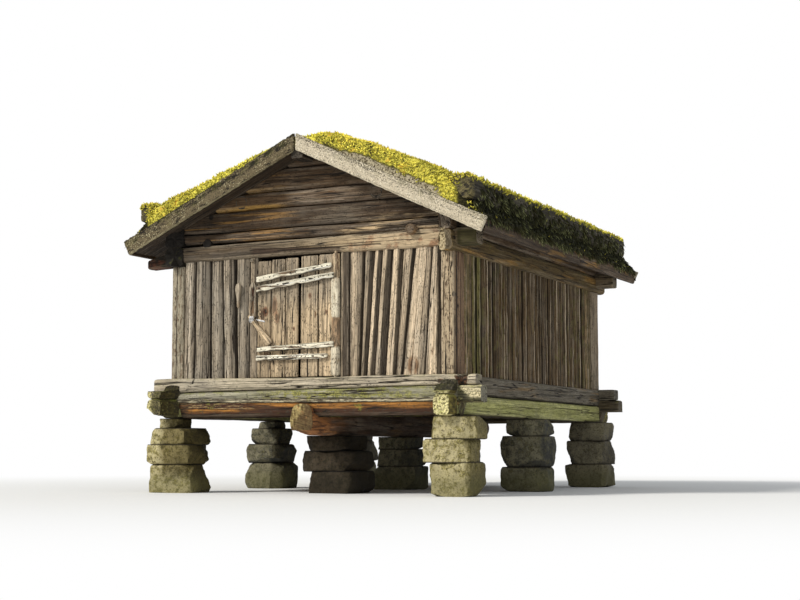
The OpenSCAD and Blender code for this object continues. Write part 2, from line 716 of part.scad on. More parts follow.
module turf(side) {
    xs = turf_lines();
    nx = len(xs);
    ny = 15;
    ys = [for (k = [0:ny - 1]) deck_y * (2 * k / (ny - 1) - 1)];
    upper = [for (x = xs, y = ys) [x, y, deck_top(x) + turf_depth(x, y)]];
    lower = [for (x = xs, y = ys) [x, y, deck_top(x) + seat]];
    m = nx * ny;
    rim = concat([for (j = [0:ny - 2]) j], [for (i = [0:nx - 2]) i * ny + ny - 1],
        [for (j = [ny - 1:-1:1]) (nx - 1) * ny + j], [for (i = [nx - 1:-1:1]) i * ny]);
    difference() {
        mirror([side < 0 ? 1 : 0, 0, 0]) polyhedron(
            points = concat(upper, lower),
            faces = concat(
                [for (i = [0:nx - 2], j = [0:ny - 2]) let (a = i * ny + j, b = a + ny)
                    each [[a, a + 1, b], [b, a + 1, b + 1],
                        [m + a, m + b, m + a + 1], [m + b, m + b + 1, m + a + 1]]],
                [for (k = [0:len(rim) - 1]) let (a = rim[k], b = rim[(k + 1) % len(rim)])
                    each [[a, m + a, b], [b, m + a, m + b]]]),
            convexity = 6);
        turf_log(side);
    }
}
module turf_left() color("#7f8c2a") turf(-1);
module turf_right() color("#a3a12c") turf(1);

module turf_log(side) pole(side * turf_log_x, turf_log_z, turf_log_d,
    -deck_y + turf_log_short, deck_y - turf_log_short);
module turf_logs() color("#4c4a2e") for (side = [-1, 1]) turf_log(side);

piers_front();
piers_middle();
piers_rear();
joist_middle();
floor_bearer();
sills_side_lower();
sills_side_upper();
sill_front_lower();
sill_front_upper();
sill_rear_lower();
sill_rear_upper();
floor();
corner_posts();
wall_left();
wall_right();
wall_rear();
wall_front_left();
wall_front_right();
door_jambs();
door_leaf();
door_pivot();
door_ledges();
door_bar();
door_hasp();
door_keepers();
plates_side_lower();
plates_side_upper();
plate_front();
plate_rear();
gable_logs_1();
gable_logs_2();
gable_logs_3();
gable_logs_4();
gable_logs_5();
ridge_beam();
purlins();
pole_beams();
roof_boards_left();
roof_boards_right();
eave_boards();
bargeboards_left();
bargeboards_right();
turf_left();
turf_right();
turf_logs();
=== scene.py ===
"""Looks of a raised granary on the CAD frame: hewn logs, split staves, dry stone piers and a turf roof."""

from math import cos, pi, radians, sin, tan

import bpy
import numpy as np
from bpy.props import FloatProperty, FloatVectorProperty, IntProperty, PointerProperty
from mathutils import Euler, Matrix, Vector


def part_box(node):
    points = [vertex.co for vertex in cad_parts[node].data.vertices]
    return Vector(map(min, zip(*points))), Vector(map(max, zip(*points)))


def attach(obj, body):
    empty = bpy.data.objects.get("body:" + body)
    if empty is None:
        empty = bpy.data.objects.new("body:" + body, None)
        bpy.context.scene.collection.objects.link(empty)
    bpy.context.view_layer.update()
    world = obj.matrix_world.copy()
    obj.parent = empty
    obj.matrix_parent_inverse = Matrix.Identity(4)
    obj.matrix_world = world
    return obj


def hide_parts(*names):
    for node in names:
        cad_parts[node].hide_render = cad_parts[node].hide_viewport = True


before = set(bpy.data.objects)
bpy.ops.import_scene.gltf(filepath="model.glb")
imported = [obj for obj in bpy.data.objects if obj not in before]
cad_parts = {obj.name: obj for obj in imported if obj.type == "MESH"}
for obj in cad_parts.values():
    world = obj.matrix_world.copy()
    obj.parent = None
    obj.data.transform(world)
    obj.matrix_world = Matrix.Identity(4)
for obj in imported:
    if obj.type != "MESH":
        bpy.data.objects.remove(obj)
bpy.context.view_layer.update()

bl_info = {
    "name": "Raised granary",
    "version": (1, 0, 0),
    "blender": (4, 5, 0),
    "location": "View3D > Sidebar > Granary",
    "description": "Builds the logs, staves, stones, door and turf roof of a raised granary",
    "category": "Add Mesh",
}

X, Y, Z = 0, 1, 2


def low(node, axis):
    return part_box(node)[0][axis]


def high(node, axis):
    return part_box(node)[1][axis]


# Main lines of the frame, in metres
PITCH = radians(25.4)
SLOPE = tan(PITCH)
WALL_X, WALL_Y = high("corner_posts", X), high("corner_posts", Y)
SILL_TOP, SILL_FOOT = high("sill_front_upper", Z), low("sills_side_lower", Z)
PLATE_SIDE, PLATE_FRONT = low("plates_side_lower", Z), low("plate_front", Z)
RIDGE = high("ridge_beam", Z) + 0.0003
ROOF_X, ROOF_Y = high("bargeboards_right", X), high("bargeboards_right", Y)
DECK_Y = high("roof_boards_right", Y)
DECK = 0.036 / cos(PITCH)
EAVE_TOP = high("eave_boards", Z)
STAVE_T = 0.09


def middle(node, axis):
    return (low(node, axis) + high(node, axis)) / 2


def under(x):
    """Height of the underside of the roof boards."""
    return RIDGE - np.abs(x) * SLOPE


def srgb(*levels):
    """A colour written in screen levels from 0 to 255, as linear light."""
    return tuple(((v / 255 + 0.055) / 1.055) ** 2.4 if v > 10 else v / 255 / 12.92 for v in levels)


def length_prop(name, text, value, top=1.0):
    return FloatProperty(name=name, description=text, default=value, min=0.0, max=top, subtype="DISTANCE",
                         unit="LENGTH")


def colour_prop(name, text, *levels):
    return FloatVectorProperty(name=name, description=text, default=srgb(*levels), min=0.0, max=1.0, size=3,
                               subtype="COLOR")


class GranarySizes(bpy.types.PropertyGroup):
    """Sizes that a user would change"""
    stave_width: length_prop("Stave width", "Usual width of a stave in the side and rear walls", 0.122)
    stave_gap: length_prop("Stave gap", "Open groove between two staves", 0.009, 0.03)
    check_depth: length_prop("Check depth", "Depth of the drying checks in the logs", 0.016, 0.05)
    lump: length_prop("Log unevenness", "Height of the lumps left by the axe", 0.005, 0.03)
    board_width: length_prop("Board width", "Width of a roof or floor board", 0.24)
    moss_height: length_prop("Moss height", "Height of a moss tuft on the turf", 0.03, 0.2)
    moss_count: IntProperty(name="Moss tufts", description="Tufts on one square metre of turf", default=800,
                            min=0, max=2000)
    fringe_length: length_prop("Fringe length", "Length of the dead grass at the eave", 0.15, 0.4)


class GranaryColours(bpy.types.PropertyGroup):
    """Colours that a user would change"""
    # The side staves are the same wood as the front ones, painted darker as painted shade on the walls turned
    # from the light
    stave_sun: colour_prop("Front staves", "Sun-bleached split pine", 194, 174, 146)
    stave_shade: colour_prop("Side staves", "Brown weathered split pine", 96, 77, 51)
    door: colour_prop("Door boards", "Weathered door boards", 192, 169, 136)
    ledge: colour_prop("Ledges", "Bleached ledges", 236, 228, 204)
    sill: colour_prop("Sill logs", "Grey-brown sill logs", 192, 179, 154)
    plate: colour_prop("Plates", "Weathered plate logs", 146, 128, 100)
    gable: colour_prop("Gable logs", "Brown gable logs", 92, 71, 49)
    timber: colour_prop("Roof timber", "Dark brown roof timber", 92, 72, 50)
    barge: colour_prop("Bargeboards", "Lichen-covered boards", 202, 189, 164)
    stone: colour_prop("Pier stone", "Split field stone", 164, 153, 112)
    moss: colour_prop("Moss", "Yellow-green moss", 242, 230, 96)
    moss_tip: colour_prop("Moss tips", "Orange moss tips", 224, 168, 62)
    earth: colour_prop("Turf", "Dark turf under the moss", 62, 58, 30)
    fringe: colour_prop("Fringe", "Dead grass and dark moss", 98, 100, 66)
    iron: colour_prop("Hasp", "Zinc-grey iron", 190, 190, 188)


# Shapes

def noise(points, size, seed=0):
    """Smooth lumps between -1 and 1, about size metres apart."""
    p = np.asarray(points, float) / size
    cell = np.floor(p).astype(np.int64)
    f = p - cell
    f = f * f * (3 - 2 * f)
    total = np.zeros(p.shape[:-1])
    for corner in range(8):
        step = np.array([corner & 1, corner >> 1 & 1, corner >> 2 & 1])
        c = cell + step
        h = c[..., 0] * 73856093 ^ c[..., 1] * 19349663 ^ c[..., 2] * 83492791 ^ seed * 2654435
        h = ((h ^ h >> 15) * 2246822519) & 0xFFFFFFFF
        h = ((h ^ h >> 13) * 326648991) & 0xFFFFFFFF
        weight = np.prod(np.where(step, f, 1 - f), axis=-1)
        total += weight * ((h ^ h >> 16) / 0xFFFFFFFF * 2 - 1)
    return total


def rough(points, size, seed=0):
    """Lumps with finer lumps on them."""
    layers = enumerate(((0.6, 1), (0.28, 0.46), (0.12, 0.2)))
    return sum(share * noise(points, size * finer, seed + k) for k, (share, finer) in layers)


def line_noise(t, size, seed):
    """Noise along one line."""
    t = np.asarray(t, float)
    return noise(np.stack([t, np.full_like(t, 0.37 * size), np.full_like(t, 0.71 * size)], -1), size, seed)


def hewn(width, height, corner, count=40):
    """Outline of a hewn log, a rectangle with rounded edges, in evenly spaced points."""
    arc = np.linspace(0, pi / 2, 7)
    path = []
    for k, (sx, sy) in enumerate([(1, 1), (-1, 1), (-1, -1), (1, -1)]):
        a = arc + k * pi / 2
        path.append(np.stack([sx * (width / 2 - corner) + corner * np.cos(a),
                              sy * (height / 2 - corner) + corner * np.sin(a)], -1))
    return even(np.concatenate(path), count)


def unit(value):
    """Cuts values off at 0 and 1."""
    return np.clip(value, 0, 1)


def girth(outline):
    """How far each point lies along a closed outline, and its whole length."""
    return np.concatenate([[0], np.cumsum(np.linalg.norm(np.roll(outline, -1, 0) - outline, axis=1))])


def even(path, count):
    """A closed outline with evenly spaced points."""
    closed = np.vstack([path, path[:1]])
    run = girth(path)
    at = np.linspace(0, run[-1], count, endpoint=False)
    return np.stack([np.interp(at, run, closed[:, k]) for k in (0, 1)], -1)


def round_log(width, count=32):
    a = np.linspace(0, 2 * pi, count, endpoint=False)
    return width / 2 * np.stack([np.cos(a), np.sin(a)], -1)


DISH = 0.004


class Shape:
    """Gathers closed forms into one mesh, with grain coordinates and values for worn edges, painted
    highlights and painted shade.
    """

    def __init__(self):
        self.points, self.edges, self.count = [], [], 0
        self.faces = {3: [], 4: []}

    def add(self, points, faces, tone, edge=None):
        """faces holds (corner indices, grain coordinates of the corners, 1 for cut ends)."""
        volume = 0
        for index, _, _ in faces:
            for a, b in ((1, 2), (2, 3))[:index.shape[1] - 2]:
                volume += np.einsum("ij,ij->", points[index[:, 0]],
                                    np.cross(points[index[:, a]], points[index[:, b]]))
        for index, grain, cut in faces:
            if volume < 0:
                index, grain = index[:, ::-1], grain[:, ::-1]
            marks = np.tile([tone, cut], (len(index), 1))
            self.faces[index.shape[1]].append((index + self.count, grain, marks))
        self.points.append(points)
        self.edges.append(np.zeros(len(points)) if edge is None else edge)
        self.count += len(points)

    def loft(self, rings, along, around, tone, edge=None, seed=0):
        """A closed form through rings of points, with roughly cut ends."""
        m, n = rings.shape[:2]
        i, j = (k.ravel() for k in np.meshgrid(np.arange(m - 1), np.arange(n), indexing="ij"))
        j1 = (j + 1) % n
        points = [rings.reshape(-1, 3)]
        wear_and_painted_light = [np.zeros(m * n) if edge is None else np.broadcast_to(edge, (m, n)).ravel()]
        u0, u1, v0, v1 = along[i], along[i + 1], around[j], around[j + 1]
        sides = np.stack([i * n + j, i * n + j1, (i + 1) * n + j1, (i + 1) * n + j], -1)
        grain = np.stack([np.stack([u0, v0], -1), np.stack([u0, v1], -1), np.stack([u1, v1], -1),
                          np.stack([u1, v0], -1)], 1)
        faces = [(sides, grain, 0.0)]
        total = m * n
        k = np.arange(n)
        k1 = (k + 1) % n
        for end, inner in ((0, 1), (m - 1, m - 2)):
            ring = rings[end]
            centre = ring.mean(0)
            out = centre - rings[inner].mean(0)
            out /= np.linalg.norm(out) + 1e-9
            first = ring[0] - centre
            first /= np.linalg.norm(first) + 1e-9
            flat = np.stack([(ring - centre) @ first, (ring - centre) @ np.cross(out, first)], -1)
            before, share = end * n + k, 1.0
            for f in (0.72, 0.38):
                new = centre + (ring - centre) * f
                new = new - out * (DISH * (1 - f) + 0.35 * DISH * noise(new, 0.02, seed)[:, None])
                points.append(new)
                wear_and_painted_light.append(np.zeros(n))
                index = np.stack([before, before[k1], total + k1, total + k], -1)
                grain = np.stack([flat * share, flat[k1] * share, flat[k1] * f, flat * f], 1)
                if end == 0:
                    index, grain = index[:, ::-1], grain[:, ::-1]
                faces.append((index, grain, 1.0))
                before, share = total + k, f
                total += n
            points.append((centre - out * DISH)[None])
            wear_and_painted_light.append(np.zeros(1))
            index = np.stack([before, before[k1], np.full(n, total)], -1)
            grain = np.stack([flat * share, flat[k1] * share, flat * 0], 1)
            if end == 0:
                index, grain = index[:, ::-1], grain[:, ::-1]
            faces.append((index, grain, 1.0))
            total += 1
        self.add(np.concatenate(points), faces, tone, np.concatenate(wear_and_painted_light))

    def mesh(self, name, sharp=46):
        me = bpy.data.meshes.new(name)
        parts = [[np.concatenate([f[k] for f in self.faces[c]]) if self.faces[c] else None for k in range(3)]
                 for c in (4, 3)]
        parts = [p for p in parts if p[0] is not None]
        points = np.concatenate(self.points)
        me.vertices.add(len(points))
        me.vertices.foreach_set("co", points.ravel())
        sizes = np.concatenate([np.full(len(p[0]), p[0].shape[1]) for p in parts])
        me.loops.add(int(sizes.sum()))
        me.loops.foreach_set("vertex_index", np.concatenate([p[0].ravel() for p in parts]).astype(np.int32))
        me.polygons.add(len(sizes))
        me.polygons.foreach_set("loop_start", np.concatenate([[0], np.cumsum(sizes)[:-1]]).astype(np.int32))
        me.polygons.foreach_set("use_smooth", np.ones(len(sizes), bool))
        me.update(calc_edges=True)
        me.uv_layers.new(name="grain").data.foreach_set("uv", np.concatenate([p[1].ravel() for p in parts]))
        marks = np.concatenate([p[2] for p in parts])
        for k, word in enumerate(("tone", "cut")):
            store(me, word, np.ascontiguousarray(marks[:, k]), "FACE")
        store(me, "edge", np.concatenate(self.edges))
        me.set_sharp_from_angle(angle=radians(sharp))
        return me


def timber(shape, start, end, outline, seed, up=(0, 0, 1), step=0.045, lump=None, fibre=0.0012, sway=0.004,
           checks=3, deep=None, laps=(), limit=None, form=None, skew=None, worn=0.012, tone=None, grit=0.0):
    """One worked timber: an outline carried along, with axe marks, fibres, drying checks and worn ends.
    A lap is (axis, from, to, lowest z, highest z) and cuts the timber where another one crosses it."""
    sizes = bpy.context.scene.granary_sizes
    lump = sizes.lump if lump is None else lump
    deep = sizes.check_depth if deep is None else deep
    start, end, up = np.array(start, float), np.array(end, float), np.array(up, float)
    axis = end - start
    length = np.linalg.norm(axis)
    axis /= length
    side = np.cross(axis, up)
    side /= np.linalg.norm(side)
    stops = [np.linspace(0, length, max(3, round(length / step) + 1)),
             [worn * 0.35, worn, length - worn, length - worn * 0.35]]
    for axis_no, a, b, _, _ in laps:
        stops.append([(c - start[axis_no]) / axis[axis_no] + d for c in (a, b) for d in (-0.001, 0.001)])
    t = np.unique(np.round(np.clip(np.concatenate(stops), 0, length), 5))
    m, n = len(t), len(outline)
    section = np.repeat(outline[None], m, 0)
    if form:
        section = form(t, section.copy())
    tangent = np.roll(section, -1, 1) - np.roll(section, 1, 1)
    normal = np.stack([tangent[..., 1], -tangent[..., 0]], -1)
    normal /= np.linalg.norm(normal, axis=-1, keepdims=True) + 1e-9
    local = np.stack([np.repeat(t[:, None], n, 1) * 0.3 + seed * 3.7, section[..., 0], section[..., 1]], -1)
    push = lump * rough(local, 0.09, seed) + fibre * noise(local * [0.5, 1, 1], 0.011, seed + 5)
    if grit:
        push += grit * noise(local * [3.3, 1, 1], 0.02, seed + 6)
    near_end = unit(1 - np.minimum(t, length - t) / worn)
    push -= (0.007 * near_end ** 2)[:, None]
    section = section + normal * push[..., None]
    # Arrises get positive values, painted pale as worn edges and painted highlight; drying checks get -1,
    # painted dark as painted shade in the crack
    turn = outline - (np.roll(outline, 1, 0) + np.roll(outline, -1, 0)) / 2
    bend = np.linalg.norm(turn, axis=1)
    wear_and_painted_light = np.repeat((bend / (bend.max() + 1e-9))[None], m, 0)
    rng = np.random.default_rng(seed)
    for _ in range(checks):
        j, mid = rng.integers(n), rng.uniform(0, 1) * length
        reach = rng.uniform(0.15, 0.5) * min(length, 2.5)
        depth = unit(1 - np.abs(t - mid) / reach) ** 0.5 * (1 + 0.3 * line_noise(t, 0.1, seed + 9))
        for other in ((j - 1) % n, (j + 1) % n):
            section[:, other] += (section[:, j] - section[:, other]) * (0.78 * unit(3 * depth))[:, None]
        section[:, j] -= normal[:, j] * (deep * rng.uniform(0.6, 1.1) * depth)[:, None]
        wear_and_painted_light[:, j] = np.where(depth > 0.05, -1.0, wear_and_painted_light[:, j])
    drift = [sway * line_noise(t, 1.1, seed + k) for k in (11, 12)]
    base = start + axis * t[:, None] + side * drift[0][:, None] + up * drift[1][:, None]
    rings = base[:, None] + side * section[..., 0:1] + up * section[..., 1:2]
    if skew:
        rings = rings + axis * skew(t[:, None] / length, section[..., 1])[..., None]
    for axis_no, a, b, zmin, zmax in laps:
        inside = (rings[..., axis_no] > a) & (rings[..., axis_no] < b)
        z = rings[..., Z]
        z[inside] = np.clip(z[inside], -9 if zmin is None else zmin + 0.0005,
                            9 if zmax is None else zmax - 0.0005)
    if limit:
        rings = limit(rings)
    shape.loft(rings, t, girth(outline), rng.uniform() if tone is None else tone, wear_and_painted_light, seed)


def below_roof(rings):
    """Keeps a timber under the roof boards."""
    rings[..., Z] = np.minimum(rings[..., Z], under(rings[..., X]) - 0.001)
    return rings


def placed(name, made):
    """Puts a shape, or anything else that an object holds, in the scene."""
    ob = bpy.data.objects.new(name, made.mesh(name) if isinstance(made, Shape) else made)
    bpy.context.scene.collection.objects.link(ob)
    return ob


def store(mesh, word, values, domain="POINT"):
    """Stores a value for each point or face."""
    mesh.attributes.new(word, "FLOAT", domain).data.foreach_set("value", values)


def coordinates(mesh):
    """The places of a mesh's points."""
    flat = np.zeros(len(mesh.vertices) * 3)
    mesh.vertices.foreach_get("co", flat)
    return flat.reshape(-1, 3)


def piece(name, made, finish, slot, *nodes, body="house"):
    """Puts a finished piece in the scene, in the place of its CAD nodes."""
    ob = placed(name, made)
    if finish:
        ob.data.materials.clear()
        ob.data.materials.append(finish)
    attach(ob, body)
    if nodes:
        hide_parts(*nodes)


# Finishes

class Val:
    """A node socket that can be used in sums."""

    def __init__(self, graph, socket):
        self.graph, self.socket = graph, socket

    def sum(self, kind, *values):
        return self.graph.node("ShaderNodeMath", {"operation": kind}, {k: v for k, v in enumerate(values)})

    def __abs__(self):
        return self.sum("ABSOLUTE", self)

    def fraction(self):
        return self.sum("FRACT", self)


for word in ("add", "subtract", "multiply", "divide", "power"):
    short = {"subtract": "sub", "multiply": "mul", "divide": "truediv", "power": "pow"}.get(word, word)
    setattr(Val, f"__{short}__", lambda a, b, kind=word.upper(): a.sum(kind, a, b))
    setattr(Val, f"__r{short}__", lambda a, b, kind=word.upper(): a.sum(kind, b, a))


class Graph:
    """Adds nodes to a tree, a shader's or a Geometry Nodes one."""

    def __init__(self, tree):
        self.tree = tree
        tree.nodes.clear()

    def node(self, kind, settings=None, inputs=None, out=0):
        node = self.tree.nodes.new(kind)
        for key, value in (settings or {}).items():
            setattr(node, key, value)
        for key, value in (inputs or {}).items():
            socket = node.inputs[key]
            if isinstance(value, Val):
                self.tree.links.new(value.socket, socket)
            elif socket.type == "RGBA" and len(value) == 3:
                socket.default_value = (*value, 1)
            else:
                socket.default_value = value
        return Val(self, node.outputs[out]) if len(node.outputs) else node


class Finish(Graph):
    """One material on a Principled shader."""

    def __init__(self, name):
        self.material = bpy.data.materials.new(name)
        self.material.use_nodes = True
        super().__init__(self.material.node_tree)

    def place(self):
        return self.node("ShaderNodeTexCoord", out=3)

    def split(self, vector):
        return [self.node("ShaderNodeSeparateXYZ", inputs={0: vector}, out=k) for k in range(3)]

    def vector(self, x, y, z):
        return self.node("ShaderNodeCombineXYZ", inputs={0: x, 1: y, 2: z})

    def value(self, word):
        return self.node("ShaderNodeAttribute", {"attribute_name": word}, out=2)

    def facing(self, axis):
        """1 where a face looks along the axis, -1 where it looks the other way."""
        return self.split(self.node("ShaderNodeNewGeometry", out=1))[axis]

    def lumps(self, vector, scale, detail=3.0, harsh=0.55, bend=0.0):
        inputs = {"Vector": vector, "Scale": scale, "Detail": detail, "Roughness": harsh, "Distortion": bend}
        return self.node("ShaderNodeTexNoise", {}, inputs)

    def streaks(self, x, y, z, *how):
        """Lumps on coordinates that are stretched one by one."""
        return self.lumps(self.vector(x, y, z), 1.0, *how)

    def cells(self, vector, scale):
        return self.node("ShaderNodeTexVoronoi", {}, {"Vector": vector, "Scale": scale})

    def grain(self):
        """A timber's own coordinates, along it and around it."""
        return self.split(self.node("ShaderNodeUVMap", {"uv_map": "grain"}))[:2]

    def ramp(self, value, a, b):
        """0 at a, 1 at b, smooth in between; a may be the larger."""
        inputs = {0: value, 1: a, 2: b, 3: 0.0, 4: 1.0}
        return self.node("ShaderNodeMapRange", {"interpolation_type": "SMOOTHSTEP"}, inputs)

    def mix(self, share, a, b, way="MIX"):
        settings = {"data_type": "RGBA", "blend_type": way, "clamp_factor": True}
        return self.node("ShaderNodeMix", settings, {0: share, 6: a, 7: b}, 2)

    def fade(self, value, a, b, first, second):
        """The first colour where the value is a, the second one where it is b."""
        return self.mix(self.ramp(value, a, b), first, second)

    def lay(self, share, colour, way="MIX"):
        """Lays a colour over the finish so far."""
        self.colour = self.mix(share, self.colour, colour, way)

    def shade(self, level):
        """Makes the finish so far lighter or darker."""
        self.colour = self.node("ShaderNodeVectorMath", {"operation": "SCALE"}, {0: self.colour, 3: level})

    def bump(self, height, depth, strength):
        return self.node("ShaderNodeBump", {}, {"Strength": strength, "Distance": depth, "Height": height})

    def finish(self, roughness=0.85, metal=0.0, normal=None, specular=0.3):
        inputs = {"Base Color": self.colour, "Roughness": roughness, "Metallic": metal,
                  "Specular IOR Level": specular}
        if normal:
            inputs["Normal"] = normal
        self.node("ShaderNodeOutputMaterial", {}, {0: self.node("ShaderNodeBsdfPrincipled", {}, inputs)})
        return self.material


def dim(colour, level):
    return tuple(min(1, c * level) for c in colour)


def blend(a, b, share):
    return tuple(x + (y - x) * share for x, y in zip(a, b))


GREY = srgb(152, 145, 132)
# Near-black for cracks and knot holes; it is also laid as painted shade in gaps, hollows, drying checks and
# joints
NEAR_BLACK = srgb(34, 26, 18)
BROWN = srgb(92, 62, 36)
OCHRE = srgb(186, 140, 68)
MOSS = srgb(136, 138, 58)
KNOT_X, KNOT_Z = 1.365, 1.46


def wood(name, base, grey=0.35, streak=0.8, cracks=1.0, knots=0.6, moss=0.0, ochre=0.0, edge=0.5, glint=1.45,
         pits=0.7, bands=None, tips=None):
    """Weathered wood. The grain follows each timber's own length, and no two timbers share their pattern."""
    f = Finish(name)
    u, v = f.grain()
    tone, cut, wear_and_painted_light = f.value("tone"), f.value("cut"), f.value("edge")
    place = f.place()
    own = tone * 57.0
    fibres = f.streaks(u * 6 + own, v * 100, own, 3.0, 0.7)
    streaks = f.streaks(u * 1.5 + own, v * 34, own, 4.0, 0.62, 0.4)
    broad = f.streaks(u * 0.8, v * 9, own, 3.0, 0.55)
    patch = f.lumps(place, 2.1, 3.0)
    f.colour = f.mix(f.ramp(streaks, 0.5, 0.66) * streak, base, dim(base, 0.27))
    f.lay(f.ramp(streaks, 0.47, 0.34) * 0.8, blend(dim(base, 1.6), GREY, 0.2))
    f.lay(f.ramp(patch * 0.6 + broad * 0.4, 0.46, 0.64) * grey, blend(GREY, base, 0.25))
    f.lay(f.ramp(broad * 0.7 + streaks * 0.3, 0.55, 0.68) * 0.55, dim(base, 0.42))
    if ochre:
        glow = f.ramp(f.streaks(u * 1.1 + own, v * 12, own + 3, 3.0), 0.54, 0.68)
        f.lay(glow * ochre, OCHRE)
    if bands:
        bands(f, place)
    # Pale arrises: partly worn edges, partly a painted highlight, which glint makes brighter
    f.lay(f.ramp(wear_and_painted_light, 0.3, 1.0) * f.ramp(broad, 0.35, 0.6) * edge, dim(blend(base, GREY, 0.35), glint))
    mottle = f.streaks(u * 13 + own, v * 30, own, 4.0, 0.7)
    f.lay(f.ramp(mottle, 0.54, 0.66) * pits * 0.6, dim(base, 0.3))
    # knots, pits and the dark cracks along the grain
    knot = f.cells(f.vector(u * 1.7 + own, v * 7.5, own), 1.0)
    eye = f.ramp(knot, 0.105, 0.055) * f.ramp(f.streaks(u * 0.6 + own, v, own, 0.0), 0.47, 0.56)
    f.lay(eye * knots, BROWN)
    pit = f.ramp(f.cells(f.vector(u * 26 + own, v * 74, own), 1.0), 0.36, 0.14)
    pit = pit * f.ramp(f.lumps(place, 7.0, 3.0), 0.4, 0.56)
    f.lay(pit * pits, dim(base, 0.16))
    line = abs(f.streaks(u * 0.62 + own, v * 21, own + 9, 2.0, 0.45, 0.25) - 0.5)
    crack = f.ramp(line, 0.02, 0.005) * f.ramp(broad, 0.4, 0.54)
    f.lay(crack * cracks, NEAR_BLACK)
    # Painted shade wherever the value is below zero: stave grooves, drying checks and the stave slopes turned
    # from the light
    f.lay(f.ramp(wear_and_painted_light, -0.15, -0.85) * 0.85, NEAR_BLACK)
    # sawn or chopped ends, with rings and radial checks
    ring_at = (u * u + v * v) ** 0.5
    rings = f.streaks(ring_at * 150, own, 0.0, 2.0)
    star = f.streaks(u / (ring_at + 0.01) * 3, v / (ring_at + 0.01) * 3, own + ring_at * 3, 2.0)
    ends = f.fade(rings, 0.35, 0.65, dim(base, 0.42), dim(blend(base, GREY, 0.4), 0.9))
    split = f.ramp(star, 0.6, 0.64) * f.ramp(ring_at, 0.01, 0.03)
    ends = f.mix(split, ends, NEAR_BLACK)
    f.lay(cut, ends)
    if tips:
        tips(f, place)
    if moss:
        felt = f.lumps(place, 11.0, 5.0, 0.7)
        grown = f.ramp(f.facing(Z) * 0.2 + felt + f.lumps(place, 2.3, 2.0) * 0.6, 0.9, 1.02) * moss
        f.lay(grown, f.fade(f.lumps(place, 70.0, 2.0), 0.35, 0.65, dim(MOSS, 0.5), dim(MOSS, 1.4)))
    level = (0.72 + (tone * 7.31).fraction() * 0.56) * (fibres * 2.0)
    f.shade(level)
    height = fibres * 0.4 + streaks * 0.6 - crack * 1.4 - pit * 0.5 - eye * 0.3 - split * cut
    return f.finish(f.ramp(streaks, 0.2, 0.8) * 0.15 + 0.78, normal=f.bump(height, 0.014, 0.8))


def crusted(name, base, dark, crust, moss=0.0, rot=0.3):
    """Old boards under a crust of lichen: pale crumbs and dark pits, rotted dark towards the upper edge."""
    f = Finish(name)
    u, v = f.grain()
    place = f.place()
    tone, wear_and_painted_light = f.value("tone"), f.value("edge")
    x, _, z = f.split(place)
    over = z + abs(x) * SLOPE - (RIDGE - 0.02)
    grains, crumbs, broad = f.lumps(place, 62.0, 3.0, 0.75), f.cells(place, 48.0), f.lumps(place, 5.0, 3.0)
    streaks = f.streaks(u * 2.5, v * 40, tone * 9, 3.0, 0.6)
    lean = f.ramp(over, 0.06, 0.2) * 0.07
    f.colour = f.fade(grains + streaks * 0.35 - lean * 1.6, 0.47, 0.64, dark, base)
    f.lay(f.ramp(crumbs, 0.42, 0.18) * f.ramp(broad - lean, 0.38, 0.56), crust)
    crease = f.streaks(u * 9, v * 22, tone * 5, 4.0, 0.75)
    f.lay(f.ramp(crease + lean, 0.53, 0.63) * rot, dim(dark, 0.6))
    f.lay(f.ramp(over + grains * 0.01, 0.026, 0.014) * rot, blend(base, crust, 0.5))
    # Painted shade in the drying checks
    f.lay(f.ramp(wear_and_painted_light, -0.15, -0.85) * 0.8, NEAR_BLACK)
    if moss:
        felt = f.lumps(place, 12.0, 4.0, 0.7)
        f.lay(f.ramp(felt + lean * 2, 0.6, 0.68) * moss, dim(MOSS, 0.8))
    f.shade(grains * 1.1 + 0.45)
    return f.finish(0.92, normal=f.bump(grains * 0.6 + streaks * 0.4, 0.018, 0.9))


def plate_bands(f, place):
    """The front plate is paler and redder towards its right end. Its left part, a strip over the door and its
    ends outside the walls are painted dark as painted shade; the right end is also mossy.
    """
    x, _, z = f.split(place)
    felt = f.lumps(place, 4.0, 3.0)
    # Painted shade under the left eave
    f.lay(f.ramp(x, 0.3, -0.9), (0.42, 0.42, 0.47), "MULTIPLY")
    f.lay(f.ramp(x + felt * 0.8, 0.4, 1.3) * 0.75, srgb(208, 184, 148))
    red = f.ramp(x + felt, 0.6, 1.6) * f.ramp(f.lumps(place, 7.0, 2.0), 0.5, 0.62)
    f.lay(red * 0.7, srgb(150, 104, 72))
    # A dark strip along the plate's lower edge over the door, painted shade
    over_door = f.ramp(x, -0.78, -0.70) * f.ramp(x, 0.50, 0.42)
    f.lay(over_door * f.ramp(z + x * 0.03 + felt * 0.02, 2.886, 2.872) * 0.9, srgb(60, 44, 32))
    # Both ends outside the walls: painted shade, olive on the right for moss too, nearly black on the left
    f.lay(f.ramp(x, 1.86, 1.94), srgb(74, 68, 40))
    f.lay(f.ramp(x, -1.86, -1.90), f.fade(felt, 0.42, 0.56, srgb(92, 54, 38), srgb(30, 24, 16)))


